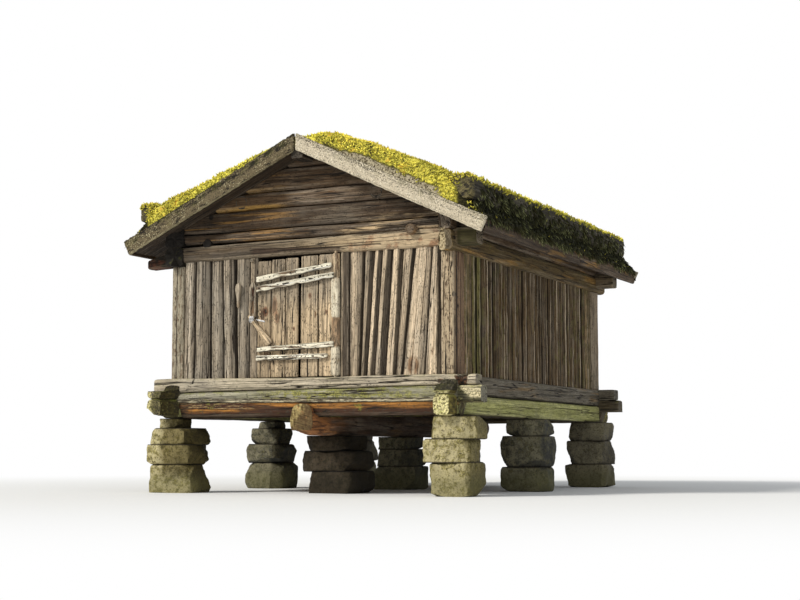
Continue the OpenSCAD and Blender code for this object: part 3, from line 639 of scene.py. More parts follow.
def sill_bands(f, place):
    """The lower front sill: moss on the middle of its face, a splintered lower edge, and an ochre belly.
    Painted shade lies in its crack, under the splintered edge and on its ends outside the walls; the right
    end has a painted pool of light.
    """
    x, y, z = f.split(place)
    felt, fine = f.lumps(place, 14.0, 4.0, 0.65), f.lumps(place, 60.0, 3.0, 0.7)
    run = f.streaks(x * 1.6, y * 14, z * 34, 4.0, 0.6)
    line = z + x * 0.0066 + felt * 0.02
    moss = f.fade(fine, 0.4, 0.6, srgb(146, 142, 70), srgb(90, 88, 44))
    middle = f.ramp(abs(x - 0.45), 1.5, 0.6) * f.ramp(line, 1.09, 1.13)
    f.lay(f.ramp(felt * 0.6 + run * 0.4, 0.42, 0.54) * middle * 0.9, moss)
    torn = f.streaks(x * 6, y * 9, z * 70, 4.0, 0.7)
    f.lay(f.ramp(line, 1.125, 1.105) * 0.8, f.fade(torn, 0.44, 0.56, srgb(186, 176, 146), srgb(64, 50, 34)))
    # Painted shade in the crack and in the step under the splintered edge
    f.lay(f.ramp(abs(line - 1.122 + run * 0.03), 0.010, 0.003) * 0.9, NEAR_BLACK)
    f.lay(f.ramp(line, 1.078, 1.07), NEAR_BLACK)
    belly = f.fade(run, 0.42, 0.6, srgb(158, 108, 50), srgb(72, 46, 26))
    splinter = f.fade(torn, 0.5, 0.56, srgb(58, 34, 24), srgb(152, 128, 88))
    left = f.ramp(x + felt * 0.4, -0.3, -0.75)
    f.lay(f.ramp(line, 1.07, 1.058), belly)
    f.lay(left * f.ramp(line, 1.068, 1.06) * f.ramp(line, 0.99, 1.004), splinter)
    f.lay(f.ramp(line + left * 0.045, 1.02, 0.985), srgb(62, 40, 27))
    f.lay(f.ramp(x + felt * 0.2, -1.42, -1.54) * f.ramp(line, 1.07, 1.05),
          f.fade(torn, 0.42, 0.58, srgb(92, 64, 38), srgb(38, 27, 18)))
    crust = f.fade(fine, 0.42, 0.6, srgb(140, 136, 88), srgb(58, 54, 34))
    # The ends outside the walls are painted dark as painted shade, under a real lichen crust
    outside = f.ramp(abs(x), 1.90, 1.94)
    f.lay(outside * 0.9, f.fade(run, 0.45, 0.6, srgb(92, 88, 62), srgb(40, 36, 26)))
    # A pale patch on the right end is a painted pool of light
    pale = f.ramp(x + z + felt * 0.06, 3.16, 3.22) * f.ramp(z, 1.07, 1.1)
    f.lay(outside * f.ramp(felt, 0.46, 0.56) * 0.8, crust)
    f.lay(pale, f.fade(fine, 0.5, 0.62, srgb(206, 194, 156), srgb(110, 100, 62)))


def gable_bands(f, place):
    """Ochre runs along the gable logs on the left, and grey weathering on the right. The top is painted
    darkest and a hole is painted black, both as painted shade under the roof.
    """
    x, _, z = f.split(place)
    run = f.streaks(x * 0.9, 0.0, z * 24, 3.0, 0.5)
    f.lay(f.ramp(run, 0.56, 0.64) * f.ramp(x, 0.2, -0.6) * 0.8, srgb(150, 112, 60))
    for seam_z in GABLE_Z[2:4]:
        glow = f.ramp(abs(z - x * 0.01 - seam_z - 0.035 + run * 0.02), 0.04, 0.018)
        f.lay(glow * f.ramp(abs(x + 0.85), 0.62, 0.35) * 0.75, srgb(158, 122, 60))
    pale = f.streaks(x * 1.3, 3.0, z * 22, 4.0, 0.6)
    f.lay(f.ramp(pale, 0.5, 0.64) * f.ramp(x, -1.0, 0.3) * 0.5, srgb(132, 118, 98))
    bare = f.streaks(x * 1.6, 7.0, z * 15, 3.0, 0.6)
    patch = f.ramp(bare, 0.5, 0.6) * f.ramp(x, 0.3, 0.7) * f.ramp(z, 3.22, 3.14)
    f.lay(patch * 0.8, srgb(190, 164, 126))
    # Painted shade under the roof at the top of the gable
    f.lay(f.ramp(z, 3.45, 3.75) * 0.45, srgb(58, 44, 30))
    # A black hole, painted shade where a pole end sits in the dark
    hole = ((x + 1.325) ** 2 + (z - 3.316) ** 2) ** 0.5 + run * 0.03
    f.lay(f.ramp(hole, 0.055, 0.04), dim(NEAR_BLACK, 0.4))


def post_bands(f, place):
    """The turning post is bleached above and below its weathered middle."""
    z = f.split(place)[2]
    felt = f.lumps(place, 30.0, 2.0) * 0.03
    upper = f.ramp(z + felt, 2.04, 2.06) * f.ramp(z + felt, 2.52, 2.49)
    lower = f.ramp(z + felt, 1.72, 1.69)
    eaten = f.streaks(f.split(place)[0] * 30, 0.0, z * 7, 4.0, 0.65)
    bleached = f.fade(eaten, 0.5, 0.66, srgb(212, 202, 178), srgb(140, 122, 94))
    middle = f.fade(eaten, 0.42, 0.56, srgb(156, 124, 92), srgb(70, 50, 34))
    head = f.fade(eaten, 0.46, 0.58, srgb(200, 178, 144), srgb(96, 70, 48))
    f.lay(f.ramp(z, 2.1, 2.0) * 0.8, middle)
    f.lay(f.ramp(z + felt, 2.56, 2.6), head)
    f.lay(upper + lower, bleached)


def corner_bands(f, place):
    """The corner posts are pale and eroded in front and brown on their broad side; one has a knot hole. The
    left post's front is painted darker, partly as painted shade, and black lines are painted as shade in the
    gaps beside the post.
    """
    x, y, z = f.split(place)
    eaten = f.lumps(f.vector(x * 20, y * 20, z * 4.5), 2.4, 5.0, 0.7)
    # The left post's front is greyer and darker, partly as painted shade
    face = f.fade(x, -1.0, 1.0, srgb(152, 144, 124), srgb(206, 184, 150))
    pale = f.fade(eaten, 0.5, 0.62, face, srgb(84, 62, 42))
    f.lay(f.ramp(abs(y), 2.555, 2.58) * 0.85, pale)
    grain = f.streaks(x * 34, y * 34, z * 1.2, 3.0, 0.6)
    flank = f.ramp(f.facing(X), 0.5, 0.8) * f.ramp(y, -2.0, -2.1) * f.ramp(x, 0.0, 0.5)
    panel = f.fade(grain, 0.42, 0.64, srgb(156, 128, 98), srgb(94, 64, 46))
    f.lay(flank, f.fade(y, -2.53, -2.55, panel, srgb(122, 92, 56)))
    # A black line, painted shade in the gap between the post and the broad board
    f.lay(flank * f.ramp(abs(y + 2.535 + eaten * 0.01), 0.018, 0.01), NEAR_BLACK)
    # A black line on the left post, painted shade in the gap between its two pieces
    split = f.ramp(abs(x + 1.79 + eaten * 0.02), 0.009, 0.004) * f.ramp(y, -2.5, -2.55)
    f.lay(split, NEAR_BLACK)
    hole = ((x - 1.862) ** 2 + (z - 2.24) ** 2 * 0.4) ** 0.5 + eaten * 0.02
    f.lay(f.ramp(hole, 0.034, 0.024) * f.ramp(y, -2.5, -2.55), dim(NEAR_BLACK, 0.5))


def wall_bands(f, place):
    """Next to the corner post stands a broad board, and then a green stave."""
    _, y, z = f.split(place)
    felt = f.lumps(place, 9.0, 3.0)
    f.lay(f.ramp(abs(y), 2.03, 2.05) * 0.75, f.fade(felt, 0.4, 0.6, srgb(152, 126, 90), srgb(104, 80, 52)))
    green = f.ramp(y, -1.80, -1.86) * f.ramp(y, -2.06, -2.0) * f.ramp(felt + z * 0.08, 0.40, 0.56)
    f.lay(green * 0.85, srgb(142, 134, 78))
    f.lay(f.ramp(felt + abs(y) * 0.1, 0.62, 0.74) * 0.4, srgb(112, 108, 60))


def board_bands(f, place):
    """The broad stave in front has a brown knot near its foot."""
    x, _, z = f.split(place)
    felt = f.lumps(place, 26.0, 3.0, 0.6)
    far = ((x - KNOT_X) / 0.06) ** 2 + ((z - KNOT_Z) / 0.09) ** 2 + felt * 0.9 - 0.45
    f.lay(f.ramp(far, 2.0, 0.8) * 0.9, srgb(130, 100, 72))
    f.lay(f.ramp(far, 0.6, 0.2) * 0.85, srgb(72, 48, 32))


def mossy_tips(f, place):
    """Lichen covers the cut faces of the side logs. The flanks are olive and painted darker as painted shade,
    and the right upper end, the left ends' inner parts, the undersides and a hollow are painted dark as
    painted shade.
    """
    x, y, z = f.split(place)
    felt, fine = f.lumps(place, 16.0, 4.0, 0.7), f.lumps(place, 36.0, 4.0, 0.75)
    growth = f.fade(fine, 0.46, 0.6, srgb(208, 198, 144), srgb(84, 76, 42))
    growth = f.mix(f.ramp(felt, 0.56, 0.66) * 0.7, growth, srgb(150, 152, 62))
    # The flanks facing sideways are olive with moss, and painted darker as painted shade
    olive = f.fade(felt, 0.4, 0.62, srgb(116, 104, 50), srgb(62, 56, 30))
    growth = f.fade(abs(f.facing(X)), 0.4, 0.75, growth, olive)
    growth = f.mix(f.ramp(f.facing(Z), 0.2, 0.6) * 0.6, growth, srgb(150, 146, 76))
    # The right upper end is painted dark, as painted shade
    dark = f.fade(fine, 0.4, 0.6, srgb(72, 68, 44), srgb(34, 31, 21))
    growth = f.mix(f.ramp(x, -0.5, 0.5) * f.ramp(z + felt * 0.02, 1.165, 1.175), growth, dark)
    # The part of the left ends next to the wall is painted near-black, as painted shade
    growth = f.mix(f.ramp(abs(y) + fine * 0.06, 2.72, 2.67) * f.ramp(x, 0.5, -0.5), growth, srgb(24, 20, 13))
    # The cut faces of the left ends are painted dark except at their outer rim, as painted shade
    shaded = f.ramp(x + felt * 0.08, -1.96, -1.92) * f.ramp(x, -0.5, -1.0) * f.ramp(y, -2.0, -2.2)
    growth = f.mix(shaded * 0.85, growth, f.fade(fine, 0.4, 0.6, srgb(66, 58, 26), srgb(26, 22, 12)))
    # Undersides are painted dark, as painted shade
    f.lay(f.ramp(f.facing(Z), -0.4, -0.8), srgb(52, 44, 28))
    # A hollow at the left is painted black, as painted shade
    hollow = f.ramp(y, -2.59, -2.61) * f.ramp(z, 1.20, 1.22) * f.ramp(x, -0.5, -1.0)
    f.lay(hollow, dim(NEAR_BLACK, 0.5))
    f.lay(f.ramp(abs(y) + felt * 0.06, 2.645, 2.67) * f.ramp(felt, 0.3, 0.42), growth)


def rotted_bands(f, place):
    """The front sill is rotted brown in the hollow behind its right end and painted dark there as painted
    shade; a notch at its left is painted dark, as painted shade.
    """
    x, _, z = f.split(place)
    felt, eaten = f.lumps(place, 24.0, 3.0), f.streaks(x * 8, 0.0, z * 20, 4.0, 0.7)
    # A notch painted dark, as painted shade
    notch = f.ramp(abs(x + 1.525 - (z - 1.33) * 0.3) + eaten * 0.01, 0.022, 0.014) * f.ramp(z, 1.292, 1.304)
    f.lay(notch, dim(NEAR_BLACK, 0.5))
    # The hollow: brown rot, painted darker as painted shade
    hollow = f.ramp(abs(x - 1.96) + eaten * 0.16, 0.155, 0.135) * f.ramp(z + eaten * 0.06, 1.362, 1.35)
    f.lay(hollow, f.fade(felt, 0.4, 0.6, srgb(104, 72, 50), srgb(32, 24, 17)))
    spot = f.ramp(abs(x - 1.72) + eaten * 0.16, 0.12, 0.1)
    spot = spot * f.ramp(abs(z - 1.272) + eaten * 0.04, 0.05, 0.035) * 0.9
    f.lay(spot, f.fade(felt, 0.4, 0.6, srgb(122, 84, 58), srgb(48, 34, 24)))


def plate_tips(f, place):
    """Everything left of the middle is painted nearly black, as painted shade under the left eave; the lower
    right end gets a pale painted highlight on the left half of its cut face.
    """
    x, _, z = f.split(place)
    eaten = f.lumps(place, 40.0, 3.0, 0.7)
    # Painted highlight on the lower right end
    cut = f.ramp(f.facing(Y), -0.4, -0.8) * f.ramp(x + eaten * 0.06, 1.85, 1.82) * f.ramp(z, 3.0, 2.96)
    f.lay(cut * f.ramp(x, 1.5, 1.6), f.fade(eaten, 0.44, 0.62, srgb(206, 188, 150), srgb(112, 94, 62)))
    # Painted shade under the left eave
    f.lay(f.ramp(x, 0.0, -0.2) * 0.95, srgb(14, 11, 8))


def stone_finish(name, base, lichen=0.7):
    """Split field stone with speckles, lichen and greenish feet, with painted highlights and painted shade on
    its faces, joints and inner piers.
    """
    f = Finish(name)
    place = f.place()
    big, mid, fine = f.lumps(place, 3.2, 4.0), f.lumps(place, 15.0, 4.0, 0.7), f.lumps(place, 70.0, 3.0, 0.7)
    f.colour = f.fade(big * 0.6 + mid * 0.4, 0.4, 0.6, dim(base, 0.5), dim(base, 1.3))
    f.lay(f.ramp(fine, 0.44, 0.34) * 0.5, dim(base, 2.0))
    f.lay(f.ramp(mid, 0.57, 0.66) * 0.6, dim(base, 0.3))
    grown = f.ramp(mid * 0.7 + big * 0.3 + f.facing(Z) * 0.08, 0.47, 0.58)
    f.lay(grown * lichen, f.fade(fine, 0.35, 0.6, srgb(158, 148, 84), srgb(84, 76, 42)))
    # Faces turned to the front are painted pale, a painted highlight as of sunlit stone, in step with the
    # lichen amount
    painted_lit_face = f.ramp(f.facing(Y), -0.35, -0.8) * lichen
    f.lay(painted_lit_face * f.ramp(mid, 0.6, 0.42) * 0.75, srgb(206, 194, 150))
    speck = f.lumps(place, 42.0, 4.0, 0.8)
    f.lay(f.ramp(speck, 0.54, 0.62) * 0.8, dim(base, 0.16))
    # Flanks facing sideways are painted darker, as painted shade
    flank = f.ramp(abs(f.facing(X)), 0.35, 0.75) * lichen
    f.lay(flank, (0.5, 0.48, 0.36), "MULTIPLY")
    x, y, z = f.split(place)
    f.lay(f.ramp(z + mid * 0.12, 0.40, 0.18) * 0.5, srgb(92, 90, 52))
    # Painted shade along the joints between the stones
    f.lay(f.ramp(f.value("edge") - mid * 0.3, -0.35, -0.95) * 0.85, NEAR_BLACK)
    # The right part of the front left pier is painted darker, as painted shadow
    left_pier_shade = f.ramp(x + mid * 0.1, -1.93, -1.80) * f.ramp(x, -1.2, -1.4)
    f.lay(left_pier_shade * f.ramp(y, -1.9, -2.1) * f.ramp(z, 0.1, 0.3) * 0.9, (0.34, 0.31, 0.2), "MULTIPLY")
    # The front middle pier is painted almost black, as painted shade under the floor
    inner = f.ramp(abs(x), 0.85, 0.7) * f.ramp(y, -1.2, -1.4)
    f.lay(inner, (0.10, 0.085, 0.09), "MULTIPLY")
    return f.finish(0.88, normal=f.bump(mid * 0.6 + fine * 0.4, 0.022, 0.9))


def moss_finish(name, colours):
    """Turf: bright moss, a crumbly crust of lichen on its cut ends, a painted shadow line where moss meets
    crust, and dark soil beyond the turf logs, darkened as painted shade under them.
    """
    f = Finish(name)
    place = f.place()
    x, _, z = f.split(place)
    big, mid = f.lumps(place, 1.6, 3.0), f.lumps(place, 13.0, 4.0, 0.65)
    fine = f.lumps(place, 75.0, 3.0, 0.75)
    cover = f.ramp(mid * 0.55 + fine * 0.45, 0.40, 0.56)
    moss = f.fade(big, 0.42, 0.62, colours.moss, dim(colours.moss, 0.62))
    moss = f.mix(f.ramp(mid, 0.55, 0.68) * f.ramp(big, 0.4, 0.55) * 0.8, moss, colours.moss_tip)
    f.colour = f.mix(cover, colours.earth, moss)
    over = z + abs(x) * SLOPE - (RIDGE + DECK + BARGE_TOP)
    crumbs = f.lumps(place, 48.0, 3.0, 0.7)
    crust = f.fade(crumbs, 0.40, 0.56, srgb(76, 66, 47), srgb(184, 172, 143))
    edge = over + mid * 0.08 + f.ramp(x, 0.95, 0.35) * 0.09
    right = f.ramp(x, 0.1, 0.3) * f.ramp(x, 1.88, 1.78)
    # A painted shadow line between moss and crust
    f.lay(f.ramp(edge, 0.145, 0.13) * right * 0.8, dim(colours.earth, 0.6))
    f.lay(f.ramp(edge, 0.13, 0.10) * right, crust)
    # Soil beyond the turf logs, dark partly as painted shade under the logs
    f.lay(f.ramp(abs(x), 1.98, 2.06),
          f.fade(crumbs, 0.5, 0.6, dim(colours.earth, 0.3), dim(colours.earth, 1.1)))
    f.shade(fine * 1.2 + 0.4)
    return f.finish(0.95, normal=f.bump(mid * 0.5 + fine * 0.5, 0.03, 0.9), specular=0.15)


def blade_finish(name, root, body, tip, other):
    """Moss or grass blades in two mottled colours, dark at the root; the tip value runs up each blade."""
    f = Finish(name)
    place = f.place()
    tipward, tone = f.value("tip"), f.value("tone")
    mottle = f.lumps(place, 5.5, 4.0, 0.65)
    f.colour = f.fade(tipward, 0.0, 0.5, root, f.fade(mottle, 0.45, 0.6, body, other))
    warm = f.ramp(f.lumps(place, 1.9, 2.0) + tone * 0.3, 0.55, 0.85)
    f.lay(f.ramp(tipward, 0.45, 1.0) * warm, tip)
    f.shade(tone * 0.7 + 0.97 - f.ramp(abs(f.split(place)[0]), 0.3, 1.8) * 0.42)
    return f.finish(0.9, specular=0.15)


def iron_finish(name, base):
    f = Finish(name)
    place = f.place()
    spots = f.lumps(place, 90.0, 4.0, 0.6)
    f.colour = f.mix(f.ramp(spots, 0.52, 0.66) * 0.6, base, srgb(112, 84, 62))
    return f.finish(f.ramp(spots, 0.3, 0.7) * 0.3 + 0.4, 0.7, f.bump(spots, 0.002, 0.5), 0.5)


# What repeats

class Copies(Graph):
    """A Geometry Nodes tree that makes copies of one thing, each with a tone of its own."""

    def __init__(self, name, seed, inputs):
        tree = bpy.data.node_groups.new(name, "GeometryNodeTree")
        super().__init__(tree)
        self.name, self.seed = name, seed
        for word, kind in {"Ground": "Geometry", "Thing": "Object", "Finish": "Material", **inputs}.items():
            tree.interface.new_socket(word, in_out="INPUT", socket_type="NodeSocket" + kind)
        tree.interface.new_socket("Made", in_out="OUTPUT", socket_type="NodeSocketGeometry")
        entry = tree.nodes.new("NodeGroupInput")
        self.given = {socket.name: Val(self, socket) for socket in list(entry.outputs)[:-1]}

    def chance(self, lowest, highest, number):
        """A random value for each copy."""
        inputs = {2: lowest, 3: highest, "Seed": self.seed + number}
        return self.node("FunctionNodeRandomValue", {"data_type": "FLOAT"}, inputs, 1)

    def baked(self, ground, points, how, values):
        """Sets the copies on the points, runs the tree on a ground mesh and keeps a plain mesh of it."""
        thing = self.node("GeometryNodeObjectInfo", {}, {"Object": self.given["Thing"]}, 4)
        made = self.node("GeometryNodeInstanceOnPoints", {}, {"Points": points, "Instance": thing, **how})
        tone = {"Geometry": made, "Name": "tone", "Value": self.chance(0.0, 1.0, 5)}
        settings = {"data_type": "FLOAT", "domain": "INSTANCE"}
        made = self.node("GeometryNodeStoreNamedAttribute", settings, tone)
        made = self.node("GeometryNodeRealizeInstances", {}, {0: made})
        made = self.node("GeometryNodeSetMaterial", {}, {"Geometry": made, "Material": self.given["Finish"]})
        self.node("NodeGroupOutput", {}, {0: made})
        host = placed(self.name + "_host", ground)
        modifier = host.modifiers.new("made", "NODES")
        modifier.node_group = self.tree
        for socket in self.tree.interface.items_tree:
            if socket.in_out == "INPUT" and socket.name in values:
                modifier[socket.identifier] = values[socket.name]
        result = bpy.data.meshes.new_from_object(host.evaluated_get(bpy.context.evaluated_depsgraph_get()))
        host.modifiers.remove(modifier)
        bpy.data.objects.remove(host)
        result.name = self.name
        return result


def grown_on(name, ground, thing, density, size, tilt, material, seed):
    """Scatters a thing over a ground mesh. The ground's value "growth" thins it out."""
    g = Copies(name, seed, {"Density": "Float", "Smallest": "Float", "Largest": "Float", "Tilt": "Float"})
    growth = g.node("GeometryNodeInputNamedAttribute", {"data_type": "FLOAT"}, {"Name": "growth"})
    inputs = {"Mesh": g.given["Ground"], "Density": g.given["Density"] * growth, "Seed": seed}
    points = g.node("GeometryNodeDistributePointsOnFaces", {"distribute_method": "RANDOM"}, inputs)
    lean = [g.chance(g.given["Tilt"] * -1, g.given["Tilt"], k) for k in (1, 2)]
    turn = g.node("ShaderNodeCombineXYZ", inputs={0: lean[0], 1: lean[1], 2: g.chance(0.0, 2 * pi, 3)})
    how = {"Rotation": turn, "Scale": g.chance(g.given["Smallest"], g.given["Largest"], 4)}
    values = {"Thing": thing, "Density": density, "Smallest": size[0], "Largest": size[1], "Tilt": tilt,
              "Finish": material}
    return g.baked(ground, points, how, values)


def set_in_row(name, board, width, count, rise, material, seed):
    """Sets copies of a board side by side along y, each a little higher or lower."""
    g = Copies(name, seed, {"Start": "Vector", "Step": "Vector", "Count": "Int", "Rise": "Float"})
    inputs = {"Count": g.given["Count"], "Start Location": g.given["Start"], "Offset": g.given["Step"]}
    line = g.node("GeometryNodeMeshLine", {"mode": "OFFSET"}, inputs)
    up = g.node("ShaderNodeCombineXYZ", inputs={2: g.chance(g.given["Rise"] * -1, 0.0, 0)})
    moved = g.node("GeometryNodeSetPosition", {}, {"Geometry": line, "Offset": up})
    thing = placed(name + "_one", board)
    values = {"Thing": thing, "Start": (0, (1 - count) * width / 2, 0), "Step": (0, width, 0), "Count": count,
              "Rise": rise, "Finish": material}
    row = g.baked(bpy.data.meshes.new(name), moved, {}, values)
    bpy.data.objects.remove(thing)
    return row


def blades(name, count, height, width, spread, seed, hanging=False):
    """A tuft: thin closed blades that lean outwards, with the value tip running up them."""
    rng = np.random.default_rng(seed)
    points, faces, tip = [], [], []
    for k in range(count):
        a = 2 * pi * (k + rng.uniform(-0.3, 0.3)) / count
        root = Vector((cos(a), sin(a), 0)) * spread * rng.uniform(0.2, 0.6)
        lean, tall = rng.uniform(0.6, 1.4), height * rng.uniform(0.65, 1.0)
        top = Vector((cos(a), sin(a), 0)) * spread * lean + Vector((0, 0, tall))
        if hanging:
            top.z = -top.z
        b = len(points)
        for c in (0, 2 * pi / 3, 4 * pi / 3):
            points.append(root + Vector((cos(a + c), sin(a + c), -0.15)) * width)
            tip.append(0.0)
        points.append(top)
        tip.append(1.0)
        order = [(b, b + 1, b + 3), (b + 1, b + 2, b + 3), (b + 2, b, b + 3), (b + 2, b + 1, b)]
        faces += [f[::-1] for f in order] if hanging else order
    me = bpy.data.meshes.new(name)
    me.from_pydata(points, [], faces)
    store(me, "tip", tip)
    return me


# Piers

STONE_W, STONE_BED, JOIST_SEAT = 0.56, 0.004, 0.21
PIERS = {
    "front": [
        [(1.04, 1.00, 34, 0.07), (1.16, 1.04, 24, 0.0), (1.04, 0.94, 20, 0.07), (0.60, 0.62, 12, -0.05)],
        [(1.24, 1.10, 27, 0.06), (1.31, 1.11, 25, 0.05), (1.22, 1.00, 19, 0.0)],
        [(0.95, 0.95, 38, -0.02), (0.97, 1.00, 26, -0.10), (0.97, 0.95, 26, 0.02)]],
    "middle": [
        [(1.00, 0.96, 36, 0), (0.96, 1.00, 26, 0.02), (0.79, 0.75, 22, 0), (0.54, 0.54, 10, 0.03)],
        [(1.07, 1.07, 30, 0), (1.00, 1.04, 22, 0.02), (0.93, 0.93, 16, -0.02)],
        [(1.00, 1.00, 30, 0), (1.09, 1.06, 38, -0.02), (0.90, 0.90, 21, 0.03)]],
    "rear": [
        [(1.00, 1.00, 36, 0), (0.96, 0.96, 30, 0.02), (0.82, 0.82, 24, -0.02)],
        [(1.14, 1.07, 27, 0), (1.07, 1.04, 24, -0.02), (0.96, 0.96, 17, 0.02)],
        [(1.00, 1.00, 32, 0), (0.96, 1.00, 32, 0), (0.90, 0.94, 26, 0.02)]],
}
PIER_Y = {"front": (-2.44, -1.84), "middle": (-0.20, 0.0), "rear": (2.25, 1.84)}
GRID_STEPS = (20, 14, 14)


def cube_grid(steps):
    """Points and faces of a cube's surface, cut into squares, with shared edges."""
    s = np.linspace(-1, 1, steps + 1)
    a, b = (k.ravel() for k in np.meshgrid(s, s, indexing="ij"))
    i, j = (k.ravel() for k in np.meshgrid(np.arange(steps), np.arange(steps), indexing="ij"))
    first = i * (steps + 1) + j
    square = np.stack([first, first + steps + 1, first + steps + 2, first + 1], -1)
    points, faces = [], []
    for axis in range(3):
        for sign in (-1, 1):
            p = np.zeros((len(a), 3))
            p[:, axis], p[:, (axis + 1) % 3], p[:, (axis + 2) % 3] = sign, a, b
            faces.append((square if sign > 0 else square[:, ::-1]) + len(points) * len(a))
            points.append(p)
    points = np.concatenate(points)
    _, first, inverse = np.unique(np.round(points * 1000).astype(int), axis=0, return_index=True,
                                  return_inverse=True)
    return points[first], inverse.ravel()[np.concatenate(faces)]


def stone(shape, grid, centre, size, seed, flat_foot, flat_top):
    """One field stone: a rounded block with split faces, chipped edges and a rough skin."""
    cube, faces = grid
    rng = np.random.default_rng(seed)
    power = rng.uniform(6.5, 12)
    p = cube / (np.abs(cube) ** power).sum(1, keepdims=True) ** (1 / power)
    out = p / np.linalg.norm(p, axis=1, keepdims=True)
    p = p * np.array(size) / 2 * (1.03, 1.03, 1)
    slant = rng.uniform(-0.16, 0.16, 4)
    for k in (0, 1):
        p[:, k] *= 1 + slant[2 * k] * p[:, 2] / size[2] + slant[2 * k + 1] * p[:, 1 - k] / size[1 - k]
    for k in range(13):
        n = rng.normal(size=3) * (1, 1, 0.25 if k < 7 else 1.2)
        n /= np.linalg.norm(n)
        d = (p @ n).max() * rng.uniform(0.80, 0.95)
        p -= 0.9 * np.clip(p @ n - d, 0, None)[:, None] * n
    where = p + np.array(centre)
    skin = 0.034 * rough(where, 0.26, seed) - 0.014 * np.abs(noise(where, 0.11, seed + 3))
    p += out * (skin + 0.005 * noise(where, 0.035, seed + 4))[:, None]
    p += np.array(centre)
    p[:, Z] = np.clip(p[:, Z], flat_foot, flat_top)
    bed = np.minimum(p[:, Z] - flat_foot if flat_foot > 0 else 9, flat_top - p[:, Z])
    shape.add(p, [(faces, p[faces][..., (X, Z)], 0.0)], rng.uniform(), -unit(1 - bed / 0.022))


class GRANARY_OT_piers(bpy.types.Operator):
    """Lay the nine dry stone piers"""
    bl_idname = "granary.piers"
    bl_label = "Stone piers"

    def execute(self, context):
        # The middle and rear rows of stone are painted darker, as painted shade under the granary
        colours = tuple(context.scene.granary_colours.stone), srgb(76, 76, 70), srgb(102, 96, 82)
        for row, (name, piers) in enumerate(PIERS.items()):
            shape, grid = Shape(), cube_grid(GRID_STEPS[row])
            for k, stones in enumerate(piers):
                top = high("piers_front", Z) - JOIST_SEAT if k == 1 else SILL_FOOT
                foot, shares = 0.0, sum(s[2] for s in stones)
                for i, (w, d, share, shift) in enumerate(stones):
                    tall = top * share / shares
                    centre = ((k - 1) * (WALL_X - 0.03) + shift * STONE_W, PIER_Y[name][k == 1],
                              foot + tall / 2)
                    head = foot + tall + STONE_BED if stones[i + 1:] else top - 0.0005
                    stone(shape, grid, centre, (w * STONE_W, d * STONE_W, tall + 0.03), 40 * row + 10 * k + i,
                          foot - STONE_BED if i else 0.0, head)
                    foot += tall
            finish = stone_finish("stone_" + name, colours[row], (0.8, 0.35, 0.25)[row])
            piece(f"piers_{name}_stones", shape.mesh(name, 32), finish, "pier_stone", f"piers_{name}")
        return {"FINISHED"}


# Sills, joist and floor

SILL_X, SILL_Y, LOG_T = 1.82, 2.53, 0.20
LAP = (1.005, 1.160, 1.275)
SILL_END_L, SILL_END_R, SILL_END_Y = -2.13, 2.20, 2.84
UPPER_END_L, UPPER_END_R = -2.09, 2.14
LOWER_Z, LOWER_FOOT, LOWER_TIP, UPPER_Z = 1.045, 0.89, 1.036, 1.275
SIDE_LOWER_Z, SIDE_UPPER_Z = 1.005, 1.235
OUTER = LOG_T / 2
SEAM_GAP = 0.003
JOIST_D, BEARER_W, FLOOR_T, FLOOR_COUNT = 0.33, 0.22, 0.058, 18


def corner_laps(axis, at, zmin, zmax):
    """The two notches of a log where the crossing logs lie."""
    return [(axis, s * at - LOG_T / 2, s * at + LOG_T / 2, zmin, zmax) for s in (-1, 1)]


def between_seams(start_z, foot, top, x0):
    """A form that fits a log's foot and top to wavy seams."""
    def form(t, section):
        x = x0 + t
        b = section[..., 1]
        share = (b - b.min()) / (b.max() - b.min())
        section[..., 1] = (foot(x)[:, None] * (1 - share) + top(x)[:, None] * share) - start_z
        return section
    return form


def seam(points, seed, wave=0.006):
    """A wavy line through measured points (x, z)."""
    xs, zs = zip(*points)
    return lambda x: np.interp(x, xs, zs) + wave * line_noise(x, 0.6, seed)


def shifted(line, rise):
    return lambda x: line(x) + rise


def level(z):
    return lambda x: z + 0 * x


SILL_JOINT = seam([(-1.9, 1.192), (-0.62, 1.212), (0.22, 1.216), (1.67, 1.228), (2.2, 1.225)], 3)
SILL_HEAD = seam([(-2.1, 1.36), (-1.73, 1.366), (-0.62, 1.348), (0.22, 1.35), (1.7, 1.352), (2.2, 1.345)],
                 4, 0.003)
REAR_JOINT = seam([(-2.2, 1.205), (2.2, 1.198)], 5)
BROKEN_EDGE = seam([(-1.73, 1.088), (-0.97, 1.066), (-0.19, 1.064), (0.44, 1.052), (1.23, 1.057),
                    (1.6, 1.062)], 6)


def lower_form(joint):
    """A form from the level foot of a lower cross log to its joint."""
    return between_seams(LOWER_Z, level(LOWER_FOOT), shifted(joint, -SEAM_GAP), SILL_END_L)


def rear_sill_form(t, section):
    """A lower cross log from its level foot to its joint, with its ends hewn up over the piers."""
    return hewn_up(t, lower_form(REAR_JOINT)(t, section))


def hewn_up(t, section):
    """Both ends of a lower cross log are hewn up over the piers."""
    over = unit((np.abs(SILL_END_L + t) - SILL_X - OUTER) / 0.012)[:, None]
    z = section[..., 1] + LOWER_Z
    section[..., 1] = np.where(z < LOWER_TIP, z + (LOWER_TIP - z) * over, z) - LOWER_Z
    return section


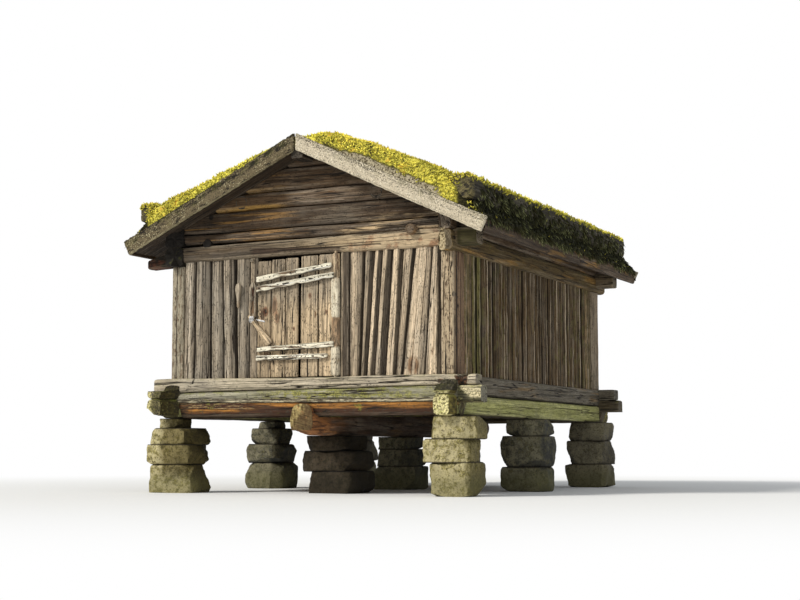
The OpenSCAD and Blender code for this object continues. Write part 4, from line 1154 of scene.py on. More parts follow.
def front_sill_form(t, section):
    """The lower front sill: a hewn face that breaks off in a splintered edge over a round belly."""
    section = lower_form(SILL_JOINT)(t, section)
    x = SILL_END_L + t
    above = section[..., 1] + LOWER_Z - (BROKEN_EDGE(x) + 0.006 * line_noise(x, 0.045, 8))[:, None]
    crack = np.clip(0.5 + line_noise(x, 0.25, 9), 0, 1.2)[:, None] * unit(1 - np.abs(above - 0.045) / 0.014)
    step = 0.018 * unit(-above / 0.010) + 0.045 * np.clip(-above / 0.17, 0, 1.2) ** 2
    section[..., 0] -= np.where(section[..., 0] > 0.03, step + 0.014 * crack, 0)
    return hewn_up(t, section)


def upper_sill_form(t, section):
    """The upper front sill, rotted hollow behind its right end."""
    section = between_seams(UPPER_Z, shifted(SILL_JOINT, SEAM_GAP), SILL_HEAD, UPPER_END_L)(t, section)
    hollow = unit(1.5 - np.abs(UPPER_END_L + t - 1.985) / 0.05)[:, None]
    front = section[..., 0] > 0.02
    section[..., 0] -= np.where(front, 0.06 * hollow, 0)
    section[..., 1] -= np.where(front & (section[..., 1] > 0.02), 0.022 * hollow, 0)
    return section


def crooked(rings):
    """The side logs bend outwards a little at their left front end."""
    over = unit((-rings[..., Y] - SILL_Y - OUTER) / 0.1) * (rings[..., X] < 0)
    rings[..., X] -= 0.12 * over
    slant = 0.92 + 0.9 * np.clip(-rings[..., X] - 1.93, 0, 0.1) + 0.01 * noise(rings, 0.05, 28)
    rings[..., Z] = np.where(over > 0.5, np.maximum(rings[..., Z], slant), rings[..., Z])
    rings[..., Y] += np.where(over > 0.5, 0.018 * rough(rings, 0.11, 30), 0)
    return rings


def rotted_ends(rings):
    """The upper side logs have rotted away above the notch at both ends."""
    y, z = rings[..., Y], rings[..., Z]
    over = unit((np.abs(y) - SILL_Y - OUTER) / 0.002)
    left = rings[..., X] < 0
    top = np.where(left, 1.222, 1.235) + 0.02 * rough(rings, 0.08, 29)
    top -= np.where(left, 0.02, 0.085) * unit((np.abs(y) - 2.72) / 0.1)
    rings[..., Z] = z + over * np.minimum(0, top - z)
    return crooked(rings)


class GRANARY_OT_sills(bpy.types.Operator):
    """Lay the four courses of notched sill logs"""
    bl_idname = "granary.sills"
    bl_label = "Sill logs"

    def execute(self, context):
        base = tuple(context.scene.granary_colours.sill)
        side_log = hewn(LOG_T, 0.23, 0.05)
        lower, upper = Shape(), Shape()
        for shape, z, seed, lump, laps, limit in (
                (lower, SIDE_LOWER_Z, 20, 0.008, (None, LAP[0]), crooked),
                (upper, SIDE_UPPER_Z, 24, None, LAP[1:], rotted_ends)):
            for s in (-1, 1):
                timber(shape, (s * SILL_X, -SILL_END_Y, z), (s * SILL_X, SILL_END_Y, z), side_log, seed + s,
                       step=0.065, checks=5, lump=lump, worn=0.03, laps=corner_laps(Y, SILL_Y, *laps),
                       limit=limit)
        finish = wood("mossy_sill", srgb(144, 143, 86), moss=0.4, grey=0.25, cracks=0.7, streak=0.5,
                      tips=mossy_tips)
        piece("sill_logs_side_lower", lower, finish, "sill_log", "sills_side_lower")
        finish = wood("side_sill", dim(base, 0.36), moss=0.1, ochre=0.3, cracks=1.3, tips=mossy_tips)
        piece("sill_logs_side_upper", upper, finish, "sill_log", "sills_side_upper")
        rear_upper_form = between_seams(UPPER_Z, shifted(REAR_JOINT, SEAM_GAP), level(1.35), UPPER_END_L)
        for name, y, step, form, upper_form, colour, upper_colour, bands, upper_bands in (
                ("front", -SILL_Y, (0.028, 0.03), front_sill_form, upper_sill_form, srgb(134, 130, 110), base,
                 sill_bands, rotted_bands),
                ("rear", SILL_Y, (0.06, 0.06), rear_sill_form, rear_upper_form, srgb(112, 98, 72),
                 dim(base, 0.5), None, None)):
            log, s = Shape(), round(y / SILL_Y)
            timber(log, (SILL_END_L, y, LOWER_Z), (SILL_END_R, y, LOWER_Z), hewn(LOG_T, 0.31, 0.05, 84),
                   31 + s, step=step[0], checks=7, form=form, laps=corner_laps(X, SILL_X, *LAP[:2]),
                   worn=0.03)
            finish = wood(f"{name}_sill_lower", colour, moss=0.4, grey=0.4, edge=0.15, bands=bands,
                          cracks=1.3)
            piece(f"sill_log_{name}_lower", log, finish, "sill_log", f"sill_{name}_lower")
            log = Shape()
            timber(log, (UPPER_END_L, y, UPPER_Z), (UPPER_END_R, y, UPPER_Z), hewn(LOG_T, 0.15, 0.035, 52),
                   35 + s, step=step[1], checks=7, form=upper_form, laps=corner_laps(X, SILL_X, LAP[2], None),
                   worn=0.03)
            finish = wood(f"{name}_sill_upper", upper_colour, moss=0.2, grey=0.6, cracks=1.1, streak=0.8,
                          bands=upper_bands)
            piece(f"sill_log_{name}_upper", log, finish, "sill_log", f"sill_{name}_upper")
        return {"FINISHED"}


def joist_flats(rings):
    """The joist is hewn flat where it lies, and its ends are hewn up a little."""
    x, y, z = (rings[..., k] for k in range(3))
    end = unit((np.abs(y) - 2.40) / 0.2)
    x *= 1 - 0.08 * end
    z[:] = np.maximum(z, low("joist_middle", Z) + 0.055 * end)
    z[:] = np.clip(z, low("joist_middle", Z), high("joist_middle", Z))
    z += 0.07 * unit((-y - SILL_Y - 0.08) / 0.045) * unit((z - middle("joist_middle", Z)) / 0.1)
    y += unit((-y - 2.72) / 0.1) * (0.35 * np.clip(x + 0.02, 0, 0.2) + 0.02 * noise(rings, 0.12, 55))
    return rings


def olive_end(f, place):
    """The joist is pale and olive on its hewn end, and warm brown in front. It is painted darker further
    back, as painted shade under the floor, and the lower right of its end face is painted dark as painted
    shade.
    """
    x, y, z = f.split(place)
    felt, fine = f.lumps(place, 9.0, 4.0, 0.65), f.streaks(x * 30, y * 4, z * 12, 4.0, 0.7)
    wavy = f.streaks(x * 4, y * 3.5, z * 26, 4.0, 0.6, 0.5)
    warm = f.fade(wavy, 0.42, 0.6, srgb(158, 104, 58), srgb(78, 48, 28))
    f.lay(f.ramp(y + felt * 0.5, -1.5, -2.3) * 0.85, warm)
    # Painted shade under the floor
    f.lay(f.ramp(y, -1.7, -1.2) * 0.6, (0.4, 0.4, 0.42), "MULTIPLY")
    growth = f.fade(fine, 0.42, 0.6, srgb(164, 146, 96), srgb(86, 70, 38))
    # The lower right of the end face is painted dark, as painted shade
    growth = f.mix(f.ramp(x * 1.4 - z + felt * 0.12, -0.98, -0.80) * 0.85, growth, srgb(74, 54, 32))
    f.lay(f.ramp(f.facing(Y), -0.3, -0.6) * f.ramp(felt, 0.3, 0.44), growth)


class GRANARY_OT_floor(bpy.types.Operator):
    """Lay the round joist, its bearer and the floor boards"""
    bl_idname = "granary.floor"
    bl_label = "Joist and floor"

    def execute(self, context):
        joist, bearer, board = Shape(), Shape(), Shape()
        reach, z = high("joist_middle", Y), middle("joist_middle", Z)
        timber(joist, (0, -reach, z), (0, reach, z), round_log(JOIST_D, 40), 51, checks=4, deep=0.02,
               limit=joist_flats)
        finish = wood("joist_wood", srgb(74, 52, 34), ochre=0.2, tips=olive_end)
        piece("round_joist", joist, finish, "joist_log", "joist_middle")
        reach, z = high("floor_bearer", Y), middle("floor_bearer", Z)
        tall = high("floor_bearer", Z) - low("floor_bearer", Z)
        timber(bearer, (0, -reach, z), (0, reach, z), hewn(BEARER_W, tall, 0.03), 52, lump=0.003)
        finish = wood("bearer_wood", dim(tuple(context.scene.granary_colours.timber), 1.2))
        piece("bearer_log", bearer, finish, "joist_log", "floor_bearer")
        width = 2 * high("floor", Y) / FLOOR_COUNT
        reach, z = high("floor", X), middle("floor", Z)
        timber(board, (-reach, 0, z), (reach, 0, z), hewn(width - 0.006, FLOOR_T, 0.006, 20), 53, step=0.3,
               lump=0.0015, sway=0.001, checks=2, deep=0.008)
        finish = wood("floor_wood", srgb(150, 126, 92))
        row = set_in_row("floor_boards", board, width, FLOOR_COUNT, 0.003, finish, 7)
        piece("floor_boards", row, None, "joist_log", "floor")
        return {"FINISHED"}


# Walls

def stave(shape, place, foot, head, z0, z1, seed, gaps, points=18, flat_from=0.19, step=0.09):
    """One split stave between two grooves: flat inside, and ridged outside unless it is a broad one."""
    rng = np.random.default_rng(seed + 700)
    t = np.linspace(0, 1, max(3, round((z1 - z0) / step) + 1))
    z = z0 + (z1 - z0) * t
    left, right = (foot[k] + (head[k] - foot[k]) * t + 0.005 * line_noise(z, 0.35, round(foot[k] * 97) + 5)
                   for k in (0, 1))
    deep = STAVE_T - rng.uniform(0, 0.022)
    flat = unit((foot[1] - foot[0] - flat_from) / 0.06)
    a = np.linspace(-1, 1, points - 5)
    peak = rng.uniform(-0.45, 0.2)
    fall = np.array([rng.uniform(0.15, 0.35), rng.uniform(0.35, 0.6)]) * (1 - 0.6 * flat)
    power = rng.uniform(1.1, 2.2, 2) + 3 * flat
    arch = 1 - fall[0] * unit((peak - a) / (1 + peak)) ** power[0]
    arch -= fall[1] * unit((a - peak) / (1 - peak)) ** power[1]
    s = np.concatenate([[-1, -1], np.sign(a) * np.abs(a) ** 0.9, [1, 1], [0]])
    d = np.concatenate([[0, 0.28], arch, [0.28, 0], [0]])
    half = (right - left) / 2
    inside = np.concatenate([[1, 1], np.full(len(a), 0.0), [1, 1], [1]]) > 0
    room = np.where(inside, -0.0006, np.where(s < 0, gaps[0] / 2, gaps[1] / 2))
    across = (left + right)[:, None] / 2 + s[None] * (half[:, None] - room[None])
    depth = np.repeat(d[None] * deep, len(t), 0)
    local = np.stack([across, depth, np.repeat(z[:, None], len(s), 1) * 0.3 + seed], -1)
    depth += np.where(d > 0.35, 0.008 * rough(local, 0.06, seed) + 0.0025 * noise(local, 0.014, seed + 1), 0)
    # The ridge gets a painted highlight; the groove floor and sides are painted dark, as painted shade
    # between the staves
    ridge = np.concatenate([[0, 0], unit(1 - np.abs(a - peak) * 2.5), [0, 0], [0]])
    wear_and_painted_light = np.where(np.abs(s) > 0.97, -0.7, np.maximum(0.8 * unit(np.abs(s)) ** 5, ridge))
    wear_and_painted_light = np.where(d <= 0.29, -1.0, wear_and_painted_light)
    # The slope right of the ridge is painted darker, as painted shade on the side turned from the light
    right_slope_shade = -0.15 - 0.75 * unit((s - peak - 0.25) / 0.3) * (1 - 0.6 * flat)
    wear_and_painted_light = np.where((d > 0.29) & (s > peak + 0.25), np.minimum(wear_and_painted_light, right_slope_shade), wear_and_painted_light)
    wear_and_painted_light = np.repeat(wear_and_painted_light[None], len(t), 0)
    for _ in range(rng.integers(2, 5)):
        j = rng.integers(4, len(s) - 5)
        mid, reach = rng.uniform(z0, z1), rng.uniform(0.15, 0.8)
        cut = unit(1 - np.abs(z - mid) / reach) ** 0.5
        depth[:, j] -= 0.016 * cut
        # The check is painted dark, as painted shade in the crack
        wear_and_painted_light[:, j] = np.where(cut > 0.05, -0.9, wear_and_painted_light[:, j])
        for o in (j - 1, j + 1):
            across[:, o] += (across[:, j] - across[:, o]) * 0.6 * unit(2 * cut)
    rings = place(across, np.clip(depth, 0, STAVE_T), np.repeat(z[:, None], len(s), 1))
    outline = np.stack([s * half.mean(), d * deep], -1)
    shape.loft(rings, z - z0 + seed * 0.37, girth(outline), rng.uniform(), wear_and_painted_light, seed)


def stave_wall(name, place, reach, top, width, seed, gap, finish, broad=()):
    """A wall of staves of uneven width, with broad ones next to the corner posts."""
    shape, rng = Shape(), np.random.default_rng(seed)
    start, stop = sum(broad) - reach, reach - sum(broad)
    count = round((stop - start) / width)
    widths = rng.uniform(0.6, 1.4, count)
    cuts = start + (stop - start) * np.cumsum(widths)[:-1] / widths.sum()
    ends = np.cumsum([0, *broad])
    cuts = np.concatenate([ends - reach, cuts, reach - ends[::-1]])
    heads = cuts + np.concatenate([[0], rng.uniform(-0.012, 0.012, len(cuts) - 2), [0]])
    gaps = gap * rng.uniform(0.8, 1.8, len(cuts))
    for k in range(len(cuts) - 1):
        stave(shape, place, cuts[k:k + 2], heads[k:k + 2], SILL_TOP, top, seed * 100 + k, gaps[k:k + 2])
    piece(name + "_staves", shape, finish, "stave", name)


def on_end(side):
    """Places of a wall that stands in front, at -1, or at the rear, at 1."""
    return lambda across, depth, z: np.stack([across, side * (WALL_Y - STAVE_T + depth), z], -1)


def on_side(side):
    """Places of a wall on the left, at -1, or on the right, at 1."""
    return lambda across, depth, z: np.stack([side * (WALL_X - STAVE_T + depth), across, z], -1)


POST_W, POST_D = 0.18, 0.30
BROAD = (0.25, 0.13)
WIDE_GAP = 0.036
FRONT_STAVES = {
    "wall_front_left": ([-1.70, -1.548, -1.315, -1.127, -0.953, -0.77],
                        [-1.70, -1.540, -1.330, -1.159, -0.983, -0.77]),
    "wall_front_right": ([0.55, 0.680, 0.770, 0.872, 1.015, 1.138, 1.225, 1.500, 1.70],
                         [0.55, 0.735, 0.869, 0.975, 1.115, 1.232, 1.392, 1.6, 1.70]),
}


class GRANARY_OT_walls(bpy.types.Operator):
    """Stand the corner posts and the split staves"""
    bl_idname = "granary.walls"
    bl_label = "Posts and staves"

    def execute(self, context):
        sizes, colours = context.scene.granary_sizes, context.scene.granary_colours
        sun, shade = tuple(colours.stave_sun), tuple(colours.stave_shade)
        posts = Shape()
        for k, (sx, sy) in enumerate([(-1, -1), (1, -1), (-1, 1), (1, 1)]):
            x, y = sx * (WALL_X - POST_W / 2), sy * (WALL_Y - POST_D / 2)
            timber(posts, (x, y, SILL_TOP), (x, y, PLATE_SIDE),
                   hewn(POST_W - 0.004, POST_D - 0.004, 0.03, 52), 61 + k, up=(0, 1, 0), lump=0.004,
                   sway=0.002, checks=7, deep=0.02)
        finish = wood("post_wood", blend(sun, shade, 0.5), grey=0.3, pits=1.0, bands=corner_bands)
        piece("posts", posts, finish, "stave", "corner_posts")
        split = {"knots": 0.8, "edge": 0.9, "streak": 1.0, "pits": 1.0}
        # The left front staves are greyer, and painted darker partly as painted shade under the eave
        finishes = (wood("stave_wood_grey", dim(blend(sun, GREY, 0.4), 0.68), grey=0.7, **split),
                    wood("stave_wood_sun", sun, grey=0.55, bands=board_bands, **split))
        # The side staves are painted dark as painted shade, with strong painted highlights on their arrises
        shaded = wood("stave_wood_shade", shade, grey=0.3, streak=0.7, edge=1.6, glint=2.3, cracks=0.7,
                      bands=wall_bands)
        for name, place, reach, top, seed, broad in (
                ("wall_right", on_side(1), WALL_Y - POST_D, PLATE_SIDE, 5, BROAD),
                ("wall_left", on_side(-1), WALL_Y - POST_D, PLATE_SIDE, 6, BROAD),
                ("wall_rear", on_end(1), WALL_X - POST_W, PLATE_FRONT, 7, ())):
            stave_wall(name, place, reach, top, sizes.stave_width, seed, sizes.stave_gap, shaded, broad)
        for n, (node, (feet, heads)) in enumerate(FRONT_STAVES.items()):
            shape = Shape()
            gaps = sizes.stave_gap * np.random.default_rng(n).uniform(1.2, 2.6, len(feet))
            if n == 0:
                gaps[1:-1] *= 2.2
            else:
                gaps[1] = WIDE_GAP
            for k in range(len(feet) - 1):
                stave(shape, on_end(-1), feet[k:k + 2], heads[k:k + 2], SILL_TOP, PLATE_FRONT,
                      810 + 20 * n + k, gaps[k:k + 2], points=26,
                      flat_from=0.19 if n == 1 and k > 0 else 0.08, step=0.04)
            piece(node + "_staves", shape, finishes[n], "stave", node)
        return {"FINISHED"}


# Door

LEAF_FACE, LEAF_T = -(WALL_Y + 0.015), 0.04
LEAF_LEFT, LEAF_RIGHT = -0.651, 0.3545
DOOR_FOOT, DOOR_HEAD = SILL_TOP + 0.009, PLATE_FRONT - 0.009
DOOR_BOARDS = [(-0.651, -0.470, 2.735, 0.006, 0.0), (-0.470, -0.277, 2.748, 0.008, 0.005),
               (-0.277, -0.073, 2.755, 0.034, 0.002), (-0.073, 0.166, 2.768, 0.014, 0.006),
               (0.166, 0.352, 2.772, 0.0, 0.001)]
PIVOT, TURNING_POST_D, PIVOT_D = (0.386, -2.585), 0.088, 0.043
LEDGES = [(-0.651, 2.514, 0.350, 2.636, 0.070, 0.074), (-0.651, 2.400, 0.381, 2.526, 0.078, 0.068),
          (-0.635, 1.685, 0.381, 1.724, 0.058, 0.068), (-0.648, 1.584, 0.300, 1.592, 0.062, 0.056)]
LEDGE_T, LEDGE_H = 0.042, 0.06
NAIL_LINE = 0.168
BLEACHED = [(1.36, 1.69), (2.05, 2.49)]
STAINS = [(-0.545, 2.135, 0.022, 0.034, 1.0), (-0.585, 2.10, 0.02, 0.05, 0.6),
          (-0.42, 2.19, 0.018, 0.07, 0.55), (-0.395, 2.06, 0.02, 0.04, 0.5), (-0.53, 1.62, 0.02, 0.03, 0.5),
          (0.05, 2.30, 0.012, 0.02, 0.7), (0.27, 2.10, 0.012, 0.018, 0.6), (-0.16, 1.92, 0.010, 0.016, 0.7)]
JAMBS = [(-0.77, -0.66), (0.44, 0.55)]
BAR_TOP, BAR_LEAN, BAR_LENGTH = Vector((-0.77, -2.633, 2.08)), radians(51), 0.45
HASP_Y, HASP_LINKS = -2.647, 14
KEEPERS = [(-0.915, 2.19, 0.068, 0.0, [0.35, 0.45, 0.55, 0.8, 1.0, 0.95, 0.7, 0.4]),
           (-0.712, 2.06, 0.102, 0.03, [0.5, 0.85, 1.0, 0.8, 0.85, 0.9, 0.65, 0.4])]
KEEPER_TOP, KEEPER_T = 2.49, 0.052


def door_bands(f, place):
    """Knot holes and reddish stains of the door boards, which are painted greyer and darker at the head, as
    painted shade.
    """
    x, _, z = f.split(place)
    felt = f.lumps(place, 26.0, 3.0, 0.6)
    # Painted shade on the upper part of the boards
    f.lay(f.ramp(z + felt * 0.1, 2.15, 2.4) * 0.5, dim(GREY, 0.7))
    for at_x, at_z, wide, tall, strength in STAINS:
        far = ((x - at_x) / wide / 1.4) ** 2 + ((z - at_z) / tall / 1.3) ** 2 + felt * 1.6 - 0.8
        f.lay(f.ramp(far, 2.6, 0.9) * strength * 0.8, srgb(122, 70, 42))
        f.lay(f.ramp(far, 0.9, 0.3) * strength, NEAR_BLACK)


def ledge_bands(f, place):
    """Rot and a row of dark nail holes in the bleached ledges, whose undersides are painted brown as painted
    shade.
    """
    x, y, z = f.split(place)
    u, v = f.grain()
    felt = f.lumps(place, 40.0, 3.0, 0.6)
    f.lay(f.ramp(f.streaks(x * 3, y * 2, z * 30, 3.0), 0.54, 0.6) * 0.9, srgb(96, 72, 48))
    along = abs((u * 11 + f.lumps(place, 4.0, 1.0) * 5).fraction() - 0.5)
    across = abs(v - NAIL_LINE + (felt - 0.5) * 0.012)
    hole = f.ramp(along + felt * 0.1, 0.2, 0.15) * f.ramp(across, 0.011, 0.006)
    f.lay(hole * f.ramp(f.lumps(place, 6.0, 1.0), 0.4, 0.5), srgb(34, 24, 16))
    # Painted shade on the undersides
    f.lay(f.ramp(f.facing(Z), -0.25, -0.6) * 0.85, srgb(74, 54, 38))


def jamb_bands(f, place):
    """The jambs are painted black next to the door, as painted shade in the gaps."""
    x, _, z = f.split(place)
    felt = f.streaks(x * 12, 0.0, z * 3, 3.0, 0.6)
    # Painted shade in the gaps beside the door
    black = f.ramp(x + felt * 0.03, -0.70, -0.68) * f.ramp(x, 0.0, -0.2) * f.ramp(z, 2.0, 2.15)
    f.lay((black + f.ramp(x + felt * 0.02, 0.48, 0.50)) * 0.8, srgb(36, 27, 20))


def keeper_bands(f, place):
    """The keepers are weathered dark below, and the right one is painted dark in its hollow, as painted
    shade.
    """
    x, _, z = f.split(place)
    felt = f.lumps(place, 20.0, 4.0, 0.65)
    # Painted shade in the right keeper's hollow
    hollow = f.ramp(abs(x + 0.700) + felt * 0.03, 0.046, 0.032) * f.ramp(z + felt * 0.06, 2.12, 2.16)
    hollow = hollow * f.ramp(z, 2.45, 2.40)
    f.lay(hollow, f.fade(felt, 0.4, 0.6, srgb(84, 56, 40), srgb(36, 26, 20)))
    f.lay(f.ramp(z + felt * 0.1, 2.34, 2.28) * 0.6, srgb(140, 112, 82))


def squared_post(t, section):
    """The turning post is squared in front where it is bleached, and worn thin between."""
    z = DOOR_FOOT + t
    share = sum(unit((z - a) / 0.012) * unit((b - z) / 0.012) for a, b in BLEACHED)[:, None]
    worn = (unit((z - BLEACHED[0][1]) / 0.02) * unit((BLEACHED[1][0] - z) / 0.02))[:, None]
    a, b = section[..., 0], section[..., 1]
    front = b < 0.004
    rot = 0.006 * (1 - share) * (1 + line_noise(z, 0.07, 104)[:, None])
    section[..., 0] = a * (1 + (0.26 * share + 0.4 * worn) * front) - np.sign(a) * rot * front
    section[..., 1] = np.where(front, -np.minimum(-b * (1 + 0.7 * share), 0.045), b) + rot * front
    return section


def within(lowest, highest):
    """Keeps a timber inside a box."""
    return lambda rings: np.clip(rings, lowest, highest)


class GRANARY_OT_door(bpy.types.Operator):
    """Make the ledged door on its turning post, with bar, hasp and keepers"""
    bl_idname = "granary.door"
    bl_label = "Door"

    def execute(self, context):
        colours = context.scene.granary_colours
        sun, door = tuple(colours.stave_sun), tuple(colours.door)
        jambs = Shape()
        for k, (a, b) in enumerate(JAMBS):
            x, y = (a + b) / 2, -WALL_Y + 0.06
            timber(jambs, (x, y, SILL_TOP), (x, y, PLATE_FRONT), hewn(b - a - 0.004, 0.12, 0.022, 40), 81 + k,
                   up=(0, 1, 0), lump=0.006, sway=0.001, checks=4, worn=0.02)
        timber(jambs, (-0.735, -WALL_Y + 0.01, 2.752), (-0.735, -WALL_Y - 0.03, 2.756), round_log(0.05, 20),
               83, step=0.01, lump=0.003, sway=0, checks=1, deep=0.004)
        finish = wood("jamb_wood", dim(sun, 0.5), grey=0.3, cracks=1.2, bands=jamb_bands)
        piece("door_jamb_staves", jambs, finish, "stave", "door_jambs")
        self.leaf(door)
        self.ledges(tuple(colours.ledge))
        self.bar(dim(door, 0.8))
        self.hasp(tuple(colours.iron))
        self.keepers(sun)
        return {"FINISHED"}

    def leaf(self, door):
        leaf, post = Shape(), Shape()
        for k, (a, b, top, gap, back) in enumerate(DOOR_BOARDS):
            x, thick = (a + b - gap) / 2, LEAF_T - back
            y = LEAF_FACE + back + thick / 2
            timber(leaf, (x, y, DOOR_FOOT), (x, y, top), hewn(b - a - gap - 0.003, thick, 0.010, 52), 91 + k,
                   up=(0, 1, 0), step=0.045, lump=0.003, sway=0.0006, checks=4, deep=0.012, worn=0.02,
                   limit=within((LEAF_LEFT, LEAF_FACE, 0), (LEAF_RIGHT, LEAF_FACE + LEAF_T, 9)))
        finish = wood("door_wood", door, grey=0.3, knots=1.0, pits=1.4, cracks=1.3, streak=1.0,
                      bands=door_bands)
        piece("door_boards", leaf, finish, "door_board", "door_leaf", body="door")
        timber(post, (*PIVOT, DOOR_FOOT), (*PIVOT, DOOR_HEAD), round_log(TURNING_POST_D, 32), 101,
               up=(0, 1, 0), step=0.02, lump=0.004, sway=0.0, checks=4, deep=0.01, form=squared_post)
        for a, b in ((DOOR_FOOT - 0.034, DOOR_FOOT + 0.02), (DOOR_HEAD - 0.02, DOOR_HEAD + 0.034)):
            timber(post, (*PIVOT, a), (*PIVOT, b), round_log(PIVOT_D, 20), 103, up=(0, 1, 0), step=0.01,
                   lump=0.0005, fibre=0, sway=0, checks=0)
        finish = wood("post_of_door", dim(door, 0.85), bands=post_bands, knots=0.9, pits=1.0)
        piece("turning_post", post, finish, "door_ledge", "door_pivot", body="door")

    def ledges(self, pale):
        rails = Shape()
        face = LEAF_FACE - LEDGE_T
        for k, (xa, za, xb, zb, ha, hb) in enumerate(LEDGES):
            def ragged(t, section, ha=ha, hb=hb, k=k):
                share = t / t[-1]
                section[..., 1] *= ((ha + (hb - ha) * share) / LEDGE_H)[:, None]
                broken = unit(line_noise(t, 0.07, 77 + k) + (0.05 if k else 0.25) * (share > 0.4)) * 0.02
                section[..., 1] += np.where(section[..., 1] < 0, broken[:, None], 0)
                return section
            y = LEAF_FACE - LEDGE_T / 2
            timber(rails, (xa, y, za), (xb, y, zb), hewn(LEDGE_T, LEDGE_H, 0.009, 36), 111 + k, step=0.018,
                   lump=0.003, fibre=0.002, sway=0.0015, checks=5, deep=0.014, form=ragged, worn=0.02,
                   limit=within((LEAF_LEFT - 0.0005, face - 0.003, 0), (0.5, LEAF_FACE - 0.0002, 9)))
        finish = wood("ledge_wood", pale, grey=0.1, streak=0.7, knots=1.0, cracks=1.2, pits=1.0,
                      bands=ledge_bands)
        piece("ledges", rails, finish, "door_ledge", "door_ledges", body="door")

    def bar(self, brown):
        bar, along, across = Shape(), *bar_axes()
        head = BAR_TOP + across * 0.03
        width = [0, 0.08, 0.16, 0.34, 0.42, 0.45], [0.75, 1.0, 0.72, 1.35, 1.5, 1.2]
        timber(bar, head, head + along * BAR_LENGTH, hewn(0.028, 0.06, 0.009, 32), 121, up=across, step=0.02,
               lump=0.005, sway=0.003, checks=3, deep=0.01, worn=0.02,
               form=lambda t, s: s * np.stack([np.ones_like(t), np.interp(t, *width)], -1)[:, None])
        peg = head + along * 0.41
        timber(bar, peg + Vector((0, 0.028, 0)), peg - Vector((0, 0.016, 0)), round_log(0.03, 16), 122,
               step=0.01, lump=0.0005, sway=0, checks=0)
        finish = wood("bar_wood", brown, pits=1.0, streak=1.0, cracks=1.2)
        piece("slanting_bar", bar, finish, "door_ledge", "door_bar", body="door")

    def hasp(self, iron):
        hasp, along, across = Shape(), *bar_axes()
        x, y, z = BAR_TOP + along * 0.06 + across * 0.03
        y = HASP_Y
        small = {"step": 0.004, "lump": 0.0004, "fibre": 0, "sway": 0, "checks": 0, "worn": 0.001}
        timber(hasp, (x, y, z), (x, y - 0.004, z), hewn(0.060, 0.060, 0.010, 24), 141, **small)
        bow = [(x + 0.017 * cos(c), y - 0.004 - 0.022 * sin(c), z + 0.004) for c in np.linspace(0, pi, 9)]
        for k in range(8):
            timber(hasp, bow[k], bow[k + 1], round_log(0.008, 10), 142 + k, **small)
        for k in range(HASP_LINKS):
            ends = []
            for c in (2 * pi * (k + d) / HASP_LINKS for d in (-0.05, 1.05)):
                ends.append((x + 0.004 * sin(c) + 0.024 * sin(c), y - 0.016 - 0.006 * sin(c),
                             z - 0.018 + 0.026 * cos(c)))
            timber(hasp, *ends, round_log(0.007, 8), 152 + k, up=(0, 1, 0), **small)
        strap = Vector((x + 0.03, LEAF_FACE - 0.003, z - 0.01))
        timber(hasp, strap, strap + Vector((0.13, 0, -0.025)), hewn(0.005, 0.018, 0.002, 16), 171, step=0.02,
               lump=0.0006, fibre=0, sway=0.002, checks=0, worn=0.002)
        piece("hasp", hasp, iron_finish("hasp_finish", iron), "hasp_iron", "door_hasp", body="door")

    def keepers(self, sun):
        keepers, half = Shape(), KEEPER_T / 2
        for k, (x, foot, wide, hollow, widths) in enumerate(KEEPERS):
            def carved(t, section, foot=foot, hollow=hollow, widths=widths):
                share = t / (KEEPER_TOP - foot)
                swell = np.interp(share, [0, 0.06, 0.3, 0.55, 0.72, 0.84, 0.94, 1], widths)[:, None]
                section[..., 0] *= swell
                front = section[..., 1] > 0
                scoop = hollow * unit(1 - ((share[:, None] - 0.5) / 0.3) ** 2)
                scoop = scoop * unit(1 - (section[..., 0] / half) ** 2)
                depth = (section[..., 1] + half) * (0.5 + 0.5 * swell) - half
                section[..., 1] = depth - np.where(front, scoop, 0)
                return section
            y = -WALL_Y - half
            timber(keepers, (x, y, foot), (x, y, KEEPER_TOP), hewn(wide, KEEPER_T, 0.016, 40), 131 + k,
                   up=(0, -1, 0), step=0.014, lump=0.005, sway=0.002, checks=3, deep=0.008, form=carved,
                   worn=0.02, limit=within((-9, -WALL_Y - KEEPER_T, 0), (9, -WALL_Y + 0.02, 9)))
        finish = wood("keeper_wood", blend(sun, srgb(226, 214, 190), 0.35), grey=0.3, edge=0.9,
                      bands=keeper_bands)
        piece("keepers", keepers, finish, "door_ledge", "door_keepers")


def bar_axes():
    """Directions along and across the slanting bar."""
    return Vector((cos(BAR_LEAN), 0, -sin(BAR_LEAN))), Vector((sin(BAR_LEAN), 0, cos(BAR_LEAN)))


# Plates, gables and roof timber

PLATE_X, PLATE_Y, PLATE_Z = 1.80, 2.51, 2.89
SIDE_PLATE_LOWER_Z, SIDE_PLATE_UPPER_Z = 2.845, 3.11
PLATE_LAP = (2.875, 2.975, 3.063)
PLATE_END_L, PLATE_END_R, PLATE_END_Y = -2.22, 2.15, 2.84
GABLE_Z = [2.99, 3.12, 3.368, 3.568, 3.84, 3.99]
